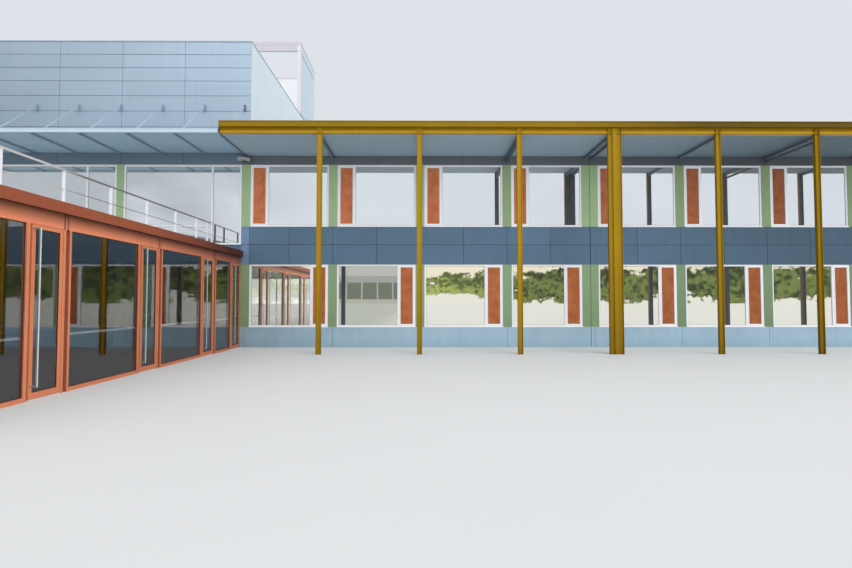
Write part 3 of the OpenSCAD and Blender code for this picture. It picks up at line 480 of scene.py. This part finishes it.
# Mesh pieces
class Kit:
    """Collects boxes and round bars into one mesh piece; its first material is the one that a call leaves out."""

    def __init__(self, *mats):
        self.v, self.f, self.m = [], [], []
        self.mats = mats

    def index(self, mat):
        """The material slot of a name, or the first slot if there is none."""
        return self.mats.index(mat) if mat else 0

    def box(self, a, b, mat=None):
        x0, y0, z0 = (min(p, q) for p, q in zip(a, b))
        x1, y1, z1 = (max(p, q) for p, q in zip(a, b))
        i = len(self.v)
        self.v += [(x0, y0, z0), (x1, y0, z0), (x1, y1, z0), (x0, y1, z0),
                   (x0, y0, z1), (x1, y0, z1), (x1, y1, z1), (x0, y1, z1)]
        for q in ((3, 2, 1, 0), (4, 5, 6, 7), (0, 1, 5, 4), (1, 2, 6, 5), (2, 3, 7, 6), (3, 0, 4, 7)):
            self.f.append(tuple(i + k for k in q))
            self.m.append(self.index(mat))

    def bar(self, p, q, r, sides, mat=None):
        """A round bar from p to q."""
        p, q = Vector(p), Vector(q)
        d = (q - p).normalized()
        u = d.orthogonal().normalized()
        w = d.cross(u)
        i = len(self.v)
        for c in (p, q):
            for k in range(sides):
                a = 2 * math.pi * k / sides
                self.v.append(tuple(c + r * (math.cos(a) * u + math.sin(a) * w)))
        for k in range(sides):
            n = (k + 1) % sides
            self.f.append((i + k, i + n, i + sides + n, i + sides + k))
        self.f.append(tuple(i + sides - 1 - k for k in range(sides)))
        self.f.append(tuple(i + sides + k for k in range(sides)))
        self.m += [self.index(mat)] * (sides + 2)

    def make(self, name, body="building", bevel=0.0, replaces=None):
        """Makes the object, which moves with its body and may take the place of a CAD node."""
        mesh = bpy.data.meshes.new(name)
        mesh.from_pydata(self.v, [], self.f)
        for m in self.mats:
            mesh.materials.append(M[m])
        mesh.polygons.foreach_set("material_index", self.m)
        mesh.validate()
        bm = bmesh.new()
        bm.from_mesh(mesh)
        bmesh.ops.recalc_face_normals(bm, faces=bm.faces)
        bm.to_mesh(mesh)
        bm.free()
        o = bpy.data.objects.new(name, mesh)
        scene.collection.objects.link(o)
        if bevel:
            b = o.modifiers.new("edge", "BEVEL")
            b.width, b.segments, b.limit_method = bevel, 1, "ANGLE"
        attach(o, body)
        if replaces:
            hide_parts(replaces)
        return o


# Each wall face: the axis it looks along, its place and the direction into the wall
FACES = {"front": (Y, FRONT, 1), "rear": (Y, REAR, -1), "end": (X, END_X, -1),
         "hall_left": (X, HALL_LEFT, 1), "hall_right": (X, HALL_RIGHT, -1), "wing": (X, WING_X, -1),
         "wing_near": (Y, NEAR_Y, 1)}
STARTS = {"front": MAIN_LEFT, "rear": HALL_LEFT}    # where the plinth and the spandrel start
BANDS = [(0, PLINTH), (PLINTH, LOW_TOP), (LOW_TOP, UP_SILL), (UP_SILL, UP_TOP), (UP_TOP, SOFFIT)]
GAP, LEAST = 0.010, 0.05        # open joint between two panels, and the width that a panel has at least
SKIN, BACKING = 0.014, 0.003    # thickness of a panel, and of the layer behind it that shows in the joints


def slab(kit, side, a0, a1, d0, d1, z0, z1, mat=None):
    """A box from depth d0 to d1 behind a wall's face, and from a0 to a1 along it."""
    axis, face, s = FACES[side]
    p, q = face + s * d0, face + s * d1
    if axis == Y:
        kit.box((a0, p, z0), (a1, q, z1), mat)
    else:
        kit.box((p, a0, z0), (q, a1, z1), mat)


def ring(kit, side, a0, a1, z0, z1, w, d0, d1, mat=None):
    """A flat frame of width w inside a rectangle on a wall."""
    slab(kit, side, a0, a1, d0, d1, z0, z0 + w, mat)
    slab(kit, side, a0, a1, d0, d1, z1 - w, z1, mat)
    slab(kit, side, a0, a0 + w, d0, d1, z0 + w, z1 - w, mat)
    slab(kit, side, a1 - w, a1, d0, d1, z0 + w, z1 - w, mat)


def clad(kit, side, a0, a1, z0, z1, cuts, rows, core, mat=None, first=None, lap=0.0):
    """The panels at the left may have a tone of their own, first, and lap is how far each board leans back."""
    joint = kit.mats[1]
    slab(kit, side, a0, a1, SKIN + BACKING, WALL, z0, z1, core)
    slab(kit, side, a0, a1, SKIN, SKIN + BACKING, z0, z1, joint)
    ca = [a0] + [a for a in sorted(cuts) if a0 + LEAST < a < a1 - LEAST] + [a1]
    cz = [z0] + [z for z in sorted(rows) if z0 + LEAST < z < z1 - LEAST] + [z1]
    for i in range(len(ca) - 1):
        for j in range(len(cz) - 1):
            p = ca[i] + (GAP / 2 if i else 0)
            q = ca[i + 1] - (GAP / 2 if i < len(ca) - 2 else 0)
            low = cz[j] + (GAP / 2 if j else 0)
            high = cz[j + 1] - (GAP / 2 if j < len(cz) - 2 else 0)
            slab(kit, side, p, q, 0, SKIN, low, high, first if first and i == 0 else mat)
            if lap:
                lean(kit, side, lap)


def lean(kit, side, lap):
    """Tips the last board, so that its top lies a little behind its foot."""
    axis, face, s = FACES[side]
    for i in range(len(kit.v) - 4, len(kit.v)):
        v = list(kit.v[i])
        if abs(v[axis] - face) < 1e-6:
            v[axis] += s * lap
            kit.v[i] = tuple(v)


# Panel joints: at each half bay, but at the hall's corner for the first line and at the open joint for line 4
BAY_CUTS = [x for line in LINES for x in (line, line + BAY / 2)] + [LINES[0] - BAY / 2 * k for k in range(1, 9)]
BAY_CUTS = [HALL_RIGHT if x == LINES[0] else x for x in BAY_CUTS if x != LINES[4]]
PLINTH_CUTS = LINES + [LINES[0] - BAY * k for k in (1, 2, 3)]
BOARD_CUTS = [HALL_RIGHT - HALL_BAY / 2 * k - 0.13 for k in range(1, 7)]
BOARD_ROWS = [SOFFIT, 7.07, 7.595, 8.15, 8.69, 9.21, 9.68, 10.145, HALL_TOP]
WINDOWS = [("front", i) for i in range(8)] + [("rear", i) for i in range(-4, 8)]


def window_span(i):
    """Left and right edges of the window after bay line i."""
    x0 = LINES[0] + BAY * i + HALF_POST
    return (x0, SHORT_END) if i == 3 else (x0, x0 + WINDOW_W)


def wall_panels():
    """The front's and rear's panels and boards, and the filler in the open joint."""
    k = Kit("spandrel", "joint", "spandrel_pale", "inside")
    for side, left in STARTS.items():
        clad(k, side, left, JOINT_L, LOW_TOP, UP_SILL, BAY_CUTS, [SPAN_ROW], "inside",
             first="spandrel_pale" if side == "front" else None)
        clad(k, side, JOINT_R, END_X, LOW_TOP, UP_SILL, BAY_CUTS, [SPAN_ROW], "spandrel")
    clad(k, "front", HALL_LEFT, MAIN_LEFT - 0.002, CEILING, HALL_SILL, BOARD_CUTS, [], "spandrel")
    k.make("spandrel_panels", bevel=0.002, replaces="spandrel")

    k = Kit("plinth", "plinth_joint", "inside")
    for side, left in STARTS.items():
        clad(k, side, left, JOINT_L, 0, PLINTH, PLINTH_CUTS, [], "inside")
        clad(k, side, JOINT_R, END_X, 0, PLINTH, PLINTH_CUTS, [], "plinth")
    k.make("plinth_panels", bevel=0.002, replaces="plinth")

    k = Kit("lintel", "joint", "lintel_hall")
    for side in STARTS:
        clad(k, side, HALL_LEFT, MAIN_LEFT, UP_TOP, SOFFIT, BOARD_CUTS, [], "lintel_hall", mat="lintel_hall")
        clad(k, side, MAIN_LEFT, JOINT_L, UP_TOP, SOFFIT, BAY_CUTS, [], "lintel")
        clad(k, side, JOINT_R, END_X, UP_TOP, SOFFIT, BAY_CUTS, [], "lintel")
    k.make("lintel_panels", bevel=0.002, replaces="lintel")

    k = Kit("cladding", "joint", "render", "lintel_hall")
    clad(k, "front", HALL_LEFT, HALL_RIGHT, SOFFIT, CANOPY_UNDER, BOARD_CUTS, [], "render", mat="lintel_hall")
    for side, low in (("front", CANOPY_UNDER), ("rear", SOFFIT)):
        clad(k, side, HALL_LEFT, HALL_RIGHT, low, HALL_TOP, BOARD_CUTS, BOARD_ROWS, "render", lap=0.006)
    k.make("cladding_boards", bevel=0.0015, replaces="hall_cladding")

    k = Kit("joint", "plinth_joint", "green_joint")
    for side in STARTS:
        for (z0, z1), mat in zip(BANDS, ("plinth_joint", "green_joint", "joint", "green_joint", "joint")):
            slab(k, side, JOINT_L, JOINT_R, 0.012 if mat == "joint" else 0.006, 0.08, z0, z1, mat)
    k.make("joint_filler")


def end_walls():
    """The right end and the wing's left end, in the bands and panels of the front."""
    k = Kit("plinth", "joint", "spandrel", "lintel", "inside")
    y0, y1 = FRONT + WALL, REAR - WALL
    cuts = [y0 + 1.27 * i for i in range(1, 8)]
    rows = [SPAN_ROW, (PLINTH + LOW_TOP) / 2, (UP_SILL + UP_TOP) / 2]
    for (z0, z1), mat in zip(BANDS, ("plinth", "plinth", "spandrel", "plinth", "lintel")):
        clad(k, "end", y0, y1, z0, z1, cuts, rows, "inside", mat=mat)
    y0 = NEAR_Y + WING_POST
    clad(k, "hall_left", y0, FRONT, 0, CEILING, [y0 + 1.36 * i for i in range(1, 8)], [PLINTH, 1.82], "inside")
    k.make("end_wall_panels", bevel=0.002, replaces="end_walls")


def window_trims():
    """Beads, gaskets, vent sashes and sills of all the windows in the main walls."""
    k = Kit("white", "bead")
    boards = Kit("terracotta_low", "terracotta_up", "gasket")
    count, lap, bead, sill = 5, 0.034, 0.008, 0.020
    board_w = VENT_W / count
    for side, i in WINDOWS:
        x0, x1 = window_span(i)
        lip = 0.018 if side == "front" else 0.0
        # The vent panel stands at the left in the upper windows and at the right in the lower ones
        for z0, up in ((PLINTH, False), (UP_SILL, True)):
            wide = VENT_IN + VENT_W + VENT_IN
            vent = x0 + VENT_IN if up else x1 - VENT_IN - VENT_W
            pane0, pane1 = (x0 + wide, x1 - FRAME_W) if up else (x0 + FRAME_W, x1 - wide)
            low, high = z0 + FRAME_W, z0 + WINDOW_H - FRAME_W
            vent_low, vent_high = z0 + VENT_IN, z0 + WINDOW_H - VENT_IN
            ring(k, side, pane0, pane1, low, high, bead, 0.034, 0.048)
            # The grey rings inside the white ones, here and round the vent panel, are painted shade
            ring(k, side, pane0 + bead, pane1 - bead, low + bead, high - bead, 0.007, 0.042, 0.048, "bead")
            ring(k, side, vent - lap, vent + VENT_W + lap, vent_low - lap, vent_high + lap, 0.030, 0.010, 0.020)
            ring(k, side, vent, vent + VENT_W, vent_low, vent_high, 0.006, 0.028, 0.035, "bead")
            slab(boards, side, vent, vent + VENT_W, 0.041, 0.075, vent_low, vent_high, "gasket")
            for j in range(count):
                left = vent + board_w * j + (0.002 if j else 0)
                right = vent + board_w * (j + 1) - (0.002 if j < count - 1 else 0)
                slab(boards, side, left, right, 0.035, 0.041, vent_low, vent_high,
                     "terracotta_up" if up else "terracotta_low")
            slab(k, side, x0, x1, -lip, sill, z0 + 0.004, z0 + sill)
            if lip:
                slab(k, side, x0, x1, -lip, 0.004 - lip, z0 - 0.014, z0 + 0.004)
    k.make("window_trims", bevel=0.0015)
    boards.make("vent_boards", bevel=0.0015, replaces="vent_panels")

    k = Kit("white", "bead")
    bead, half_bar = 0.006, 0.03
    low, high = HALL_SILL + HALL_FRAME, UP_TOP - HALL_FRAME
    for j in range(3):
        x0 = LINES[0] - HALL_BAY * (j + 1) + HALL_POST
        x1 = LINES[0] - HALL_BAY * j - HALL_POST if j else MAIN_LEFT
        side_pane = x1 - 0.99
        left, mullion, right = x0 + HALL_FRAME, side_pane - HALL_FRAME, x1 - HALL_FRAME
        for a0, a1, z0, z1 in ((left, mullion, low, CROSSBAR - half_bar), (left, mullion, CROSSBAR + half_bar, high),
                               (side_pane, right, low, high)):
            ring(k, "front", a0, a1, z0, z1, bead, 0.034, 0.048)
            # The grey ring inside the white one is painted shade
            ring(k, "front", a0 + bead, a1 - bead, z0 + bead, z1 - bead, 0.008, 0.042, 0.048, "bead")
        slab(k, "front", x0, x1, -0.03, sill, HALL_SILL + 0.004, HALL_SILL + 0.025)
    k.make("hall_window_trims", bevel=0.0015)


def wing_trims():
    """Gaskets round the wing's panes and doors, thresholds, and joint covers between its modules."""
    k = Kit("gasket", "orange_head", "steel", "brown_shade")
    joints = FAR_YS[:3]
    gasket = (0.010, 0.022, 0.031)    # width, and depth from and to
    for y0, lock in zip([NEAR_Y + WING_POST] + [f + 0.133 for f in joints], LOCKS):
        ring(k, "wing", y0, lock - 0.106, SILL_TOP, HEAD_Z, *gasket)
        slab(k, "wing", lock - 0.006, lock + LEAF_W + 0.006, 0.0, 0.07, 0.0, 0.012, "steel")
    low, high = HEAD_Z + 0.01, HEAD_TOP - 0.004
    for f in joints:
        for s in (-1, 1):
            slab(k, "wing", f + s * 0.004, f + s * 0.0295, -0.004, 0.02, low, high, "orange_head")
        slab(k, "wing", f - 0.004, f + 0.004, -0.002, 0.0, low, high)
        # Strips of painted shade beside the covers, which carry the posts' rebates up through the head rail
        for s in (-1, 1):
            slab(k, "wing", f + s * 0.0295, f + s * 0.052, -0.002, 0.0, HEAD_Z, high, "brown_shade")
        slab(k, "wing", f - 0.003, f + 0.003, 0.05, 0.08, 0, HEAD_TOP)
    pane_w, post_w = 2.043, 0.06
    for i in range(6):
        x0 = HALL_LEFT + WALL + (pane_w + post_w) * i + post_w
        ring(k, "wing_near", x0, min(x0 + pane_w, WING_IN), SILL_TOP, HEAD_Z, *gasket)
    k.make("wing_trims", bevel=0.001)

    for n, lock in enumerate(LOCKS, 1):
        k = Kit("gasket")
        ring(k, "wing", lock + STILE, lock + LEAF_W - STILE, 0.12, 2.759, 0.008, 0.009, 0.018)
        k.make(f"door_gasket_{n}", body=f"door_{n}")


def hall_trims():
    """The coping on the hall's walls, and the flashing at the lantern's foot."""
    k = Kit("coping")
    t, drop, lip = 0.012, 0.024, 0.012
    z = HALL_TOP
    for side, a0, a1 in (("front", HALL_LEFT, HALL_RIGHT), ("rear", HALL_LEFT, HALL_RIGHT),
                         ("hall_left", FRONT, REAR), ("hall_right", FRONT, LANTERN_FRONT),
                         ("hall_right", LANTERN_REAR, REAR)):
        along = side in STARTS
        if side != "rear":
            end = t if along else 0
            slab(k, side, a0 - end, a1 + end, -lip, 0.0, z - drop, z + t)
        if not along:    # the side walls end at the front and rear walls
            a0, a1 = max(a0, FRONT + WALL), min(a1, REAR - WALL)
        slab(k, side, a0, a1, 0.0, WALL, z, z + t)
    slab(k, "hall_right", LANTERN_FRONT, LANTERN_REAR, -lip, 0.0, z - 0.03, z + 0.09)
    k.make("hall_coping")


def canopy_trims():
    """Seams under the canopy, the drip edges of its front, and the feet and wall pins of its tie rods."""
    k = Kit("canopy", "canopy_under", "dark_steel", "rod", "fin")
    seam, edge_y, drip, pin_r = 0.002, -0.06, 0.012, 0.010
    for j in range(1, 5):
        y = FRONT * j / 5
        k.box((HALL_LEFT, y - 0.004, CANOPY_UNDER - seam), (CANOPY_END, y + 0.004, CANOPY_UNDER), "canopy_under")
    for z in (EDGE_LOW, EDGE_TOP - drip):
        k.box((HALL_LEFT, edge_y - 0.004, z), (CANOPY_END, edge_y, z + drip))
    for j in range(10):
        x = LINES[0] - HALL_BAY / 3 * j if j else CANOPY_END - 0.015
        y = FRONT - 0.05
        k.bar((x - 0.022, y, PIN_Z), (x + 0.022, y, PIN_Z), pin_r, 12, "fin" if j else "dark_steel")
        for s in (-1, 1):
            k.box((x + s * 0.014, FOOT_Y - 0.05, CANOPY_TOP), (x + s * 0.020, FOOT_Y + 0.05, CANOPY_TOP + 0.06), "rod")
    k.make("canopy_trims")

    k = Kit("rafter")
    k.box((LINES[0], 0.0, SOFFIT - 0.045), (LINES[0] + 0.038, FRONT, SOFFIT))
    k.make("soffit_angle")


def roof_trims():
    """Welded seams on the flat roofs, and edge trims at the main roof's right end and rear."""
    k = Kit("roofing", "coping")
    half, rise, edge_w, edge_h = 0.04, 0.006, 0.07, 0.075
    for i in range(1, 12):
        x = HALL_RIGHT + 2.0 * i
        k.box((x - half, edge_w, MAIN_ROOF), (x + half, REAR - edge_w, MAIN_ROOF + rise))
    k.box((END_X - edge_w, 0.06, MAIN_ROOF), (END_X, REAR, MAIN_ROOF + edge_h), "coping")
    k.box((HALL_RIGHT, REAR - edge_w, MAIN_ROOF), (END_X - edge_w, REAR, MAIN_ROOF + edge_h), "coping")
    for i in range(1, 6):
        y = FRONT + WALL + 2.0 * i - 0.3
        k.box((HALL_LEFT + WALL, y - half, HALL_TOP), (LANTERN_LEFT - 0.03, y + half, HALL_TOP + rise))
    # The seam along the hall lies a little higher than those that it crosses
    k.box((HALL_LEFT + WALL, 5.2, HALL_TOP), (HALL_RIGHT - WALL, 5.28, HALL_TOP + rise + 0.0005))
    for i in range(1, 6):
        x = HALL_LEFT + 2.1 * i
        k.box((x - half, NEAR_Y + 0.1, TERRACE), (x + half, FRONT - 0.02, TERRACE + rise))
    k.make("roof_trims")


def lantern_trims():
    """Thin lines of the lantern's cap, head and panels, and the rail under its glass."""
    k = Kit("lantern_line", "lantern")
    x0, x1, y0, y1 = LANTERN_LEFT, HALL_RIGHT, LANTERN_FRONT, LANTERN_REAR
    line, out = 0.006, 0.003
    for z in (CAP_LINE, HEAD_LINE):
        k.box((x0 - out, y0 - out, z - line), (x1 + out, y0, z + line))
        k.box((x0 - out, y1, z - line), (x1 + out, y1 + out, z + line))
        if z == CAP_LINE:
            k.box((x1, y0, z - line), (x1 + out, y1, z + line))
        k.box((x0 - out, y0, z - line), (x0, y1, z + line))
    for i in (1, 2):
        x = x0 + i
        k.box((x - line, y0 + 0.016, HALL_TOP), (x + line, y0 + 0.02, PANEL_TOP))
        k.box((x - line, y1 - 0.02, HALL_TOP), (x + line, y1 - 0.016, PANEL_TOP))
    for i in (1, 2):
        y = y0 + i
        k.box((x0 + 0.016, y - line, HALL_TOP), (x0 + 0.02, y + line, PANEL_TOP))
    low, high, post = PANEL_TOP - 0.025, PANEL_TOP + 0.025, 0.15
    k.box((x0 + post, y0 + 0.01, low), (x1 - post, y0 + 0.04, high), "lantern")
    k.box((x0 + post, y1 - 0.04, low), (x1 - post, y1 - 0.01, high), "lantern")
    k.box((x0 + 0.01, y0 + post, low), (x0 + 0.04, y1 - post, high), "lantern")
    k.make("lantern_trims", bevel=0.001)


def railing_feet():
    """A plate under each post of the terrace railing, with a bolt on either side."""
    k = Kit("steel")
    plate, bolt = 0.008, 0.008
    ys = [FRONT - 0.263, FRONT - 1.02] + [FRONT - 2.3 - 1.45 * i for i in range(6)]
    for x in (-7.2, -18.1):
        for y in ys:
            k.box((x - 0.055, y - 0.04, TERRACE), (x + 0.055, y + 0.04, TERRACE + plate))
            for s in (-1, 1):
                at = x + s * 0.043
                k.bar((at, y, TERRACE + plate), (at, y, TERRACE + plate + bolt), 0.009, 6)
    k.make("railing_feet")


wall_panels()
end_walls()
window_trims()
wing_trims()
hall_trims()
canopy_trims()
roof_trims()
lantern_trims()
railing_feet()

# Floor
half = 220
mesh = bpy.data.meshes.new("floor")
mesh.from_pydata([(-half, -half, 0), (half, -half, 0), (half, half, 0), (-half, half, 0)], [], [(0, 1, 2, 3)])
floor = bpy.data.objects.new("floor", mesh)
floor.location.z = -0.002
scene.collection.objects.link(floor)
t = Tree("floor")
path = t.add("ShaderNodeLightPath")
# Painted reflection: mirrors see the floor in the tones of a yard, grey as painted shade near the building and darker
# far off to the left, while the camera and the light see it evenly pale
yard = t.mix(t.range(t.axis(Y), 2.0, 6.0, 0.0, 1.0), lin(166, 164, 164), lin(166, 182, 198))
open_yard = t.mix(t.range(t.axis(X), -4.0, 1.0, 0.0, 1.0), lin(184, 186, 172), lin(235, 232, 220))
mirrored_floor = t.mix(t.range(t.axis(Y), -13.0, -9.0, 0.0, 1.0), open_yard, yard)
ground = t.mix(path.outputs["Is Glossy Ray"], lin(235, 235, 234), mirrored_floor)
t.link(t.bright(ground, t.range(t.noise(0.25, 4.0), 0.3, 0.7, 0.98, 1.0)), t.bsdf.inputs["Base Color"])
t.bsdf.inputs["Roughness"].default_value = 0.9
floor.data.materials.append(t.mat)

# World
world = bpy.data.worlds.new("world")
scene.world = world
world.use_nodes = True
wt = world.node_tree
wt.nodes.clear()


def wnode(kind, *inputs, **kw):
    """A world node with its inputs set or linked in order."""
    n = wt.nodes.new(kind)
    for key, value in kw.items():
        setattr(n, key, value)
    for i, v in enumerate(inputs):
        if hasattr(v, "is_output"):
            wt.links.new(v, n.inputs[i])
        elif v is not None:
            n.inputs[i].default_value = v
    return n


def calc(operation, *inputs):
    """One step of arithmetic; MULTIPLY_ADD is the first times the second, plus the third."""
    return wnode("ShaderNodeMath", *inputs, operation=operation).outputs[0]


def world_noise(vector, **settings):
    """Noise with its inputs set by name."""
    n = wnode("ShaderNodeTexNoise", vector)
    for name, value in settings.items():
        n.inputs[name].default_value = value
    return n.outputs["Fac"]


def blend(fac, a, b):
    """Mixes two colours of the world, each a tuple or a socket."""
    n = wnode("ShaderNodeMix", fac, data_type="RGBA")
    for i, c in ((6, a), (7, b)):
        if hasattr(c, "is_output"):
            wt.links.new(c, n.inputs[i])
        else:
            n.inputs[i].default_value = (*c, 1)
    return n.outputs[2]


def soft(x, a, b, lo=0.0, hi=1.0):
    """A smooth step from lo at a to hi at b."""
    return wnode("ShaderNodeMapRange", x, a, b, lo, hi, interpolation_type="SMOOTHSTEP").outputs[0]


# What glass and metal mirror: a pale sky over the far, muted edge of a courtyard. East, north and height are the
# three parts of a direction of length 1.
co = wnode("ShaderNodeTexCoord").outputs["Generated"]
east, north, height = wnode("ShaderNodeSeparateXYZ", co).outputs
wide = wnode("ShaderNodeMapping", co)
wide.inputs["Scale"].default_value = (1.0, 1.0, 2.2)
puff = world_noise(wide.outputs[0], Scale=15.0, Detail=8.0, Roughness=0.62)
leaf = world_noise(co, Scale=120.0, Detail=2.0)
slow = world_noise(wide.outputs[0], Scale=2.6, Detail=4.0)

# The sky's and the hedge's tones change towards the right, and the hedge has a ragged top
right = soft(east, 0.02, 0.22)
lumpy = calc("ADD", calc("MULTIPLY_ADD", puff, 0.12, -0.06), calc("MULTIPLY_ADD", leaf, 0.03, -0.015))
ragged = calc("ADD", height, lumpy)
hedge_top = calc("MULTIPLY_ADD", right, -0.014, ragged)
hedge_foot = calc("MULTIPLY_ADD", right, 0.020, ragged)
cloud = calc("MULTIPLY", soft(slow, 0.38, 0.58), soft(east, -0.15, -0.5, 0.08, 0.75))
sky = blend(cloud, lin(224, 233, 247), lin(168, 176, 184))
far = blend(soft(height, 0.085, 0.115), lin(246, 238, 216), sky)
leaves = calc("MULTIPLY_ADD", puff, 0.5, calc("MULTIPLY", leaf, 0.5))
hedge = blend(soft(leaves, 0.42, 0.58), blend(right, lin(88, 104, 48), lin(44, 56, 26)),
              blend(right, lin(176, 188, 104), lin(118, 132, 66)))
mid = blend(soft(hedge_top, 0.044, 0.050), hedge, far)
open_land = blend(soft(east, -0.22, -0.02), lin(190, 192, 178), lin(240, 238, 228))
near = blend(soft(hedge_foot, 0.018, 0.023), open_land, mid)

# A grey block at the left, whose top falls towards the right
level = calc("MULTIPLY_ADD", east, 0.165, height)
beside = calc("MULTIPLY", soft(east, -0.36, -0.37), soft(east, -0.5, -0.49))
block = calc("MULTIPLY", beside, soft(level, 0.051, 0.048))
shown = blend(block, near, lin(98, 102, 108))

# A low glazed building across the yard, which the second lower window mirrors
post = calc("PINGPONG", east, 0.016)
glazed = blend(soft(post, 0.0018, 0.0012), lin(112, 120, 104), lin(172, 177, 178))
foot = blend(soft(height, 0.001, 0.003), lin(180, 181, 170), glazed)
eaves = blend(soft(height, 0.036, 0.038), foot, lin(164, 166, 164))
pavilion = blend(soft(height, 0.050, 0.052), eaves, lin(190, 191, 188))
span = calc("MULTIPLY", soft(east, -0.2, -0.196), soft(east, -0.046, -0.05))
across = calc("MULTIPLY", span, soft(north, -0.5, -0.6))
shown = blend(calc("MULTIPLY", across, soft(height, 0.1, 0.09)), shown, pavilion)

# The camera sees a plain backdrop, sharp reflections see the courtyard and all else is lit by an even sky
out = wnode("ShaderNodeOutputWorld")
seen = wnode("ShaderNodeBackground", (*lin(223, 227, 233), 1))
mirrored = wnode("ShaderNodeBackground", shown)
lit = wnode("ShaderNodeBackground", (0.93, 0.96, 1.0, 1), 0.83)
path = wnode("ShaderNodeLightPath")
sharp = calc("MAXIMUM", path.outputs["Is Glossy Ray"], path.outputs["Is Transmission Ray"])
first = wnode("ShaderNodeMixShader", sharp, lit.outputs[0], mirrored.outputs[0])
pick = wnode("ShaderNodeMixShader", path.outputs["Is Camera Ray"], first.outputs[0], seen.outputs[0])
wt.links.new(pick.outputs[0], out.inputs[0])


# Light
def sun_lamp(name, energy, angle, aim, colour, mirrored=True):
    """A soft sun; one that isn't mirrored fills without a highlight."""
    sun = bpy.data.lights.new(name, "SUN")
    sun.energy, sun.angle, sun.color = energy, math.radians(angle), colour
    lamp = bpy.data.objects.new(name, sun)
    lamp.rotation_euler = Vector(aim).to_track_quat("-Z", "Y").to_euler()
    lamp.visible_glossy = mirrored
    scene.collection.objects.link(lamp)


sun_lamp("sun", 0.72, 35, (-0.45, 0.5, -0.72), (1.0, 0.985, 0.96))
sun_lamp("front_sky", 0.8, 70, (-0.1, 1.0, -0.16), (0.97, 0.985, 1.0), mirrored=False)

# The camera, as solved from the photo's lines
cam = bpy.data.cameras.new("camera")
cam.sensor_width = 36
cam.lens = 20.041
cam.clip_end = 500
camera = bpy.data.objects.new("camera", cam)
camera.location = (0.109, -14.126, 1.601)
camera.rotation_euler = (math.pi / 2 + 0.03426, 0, -0.00591)
scene.collection.objects.link(camera)
scene.camera = camera
scene.view_settings.view_transform = "Standard"
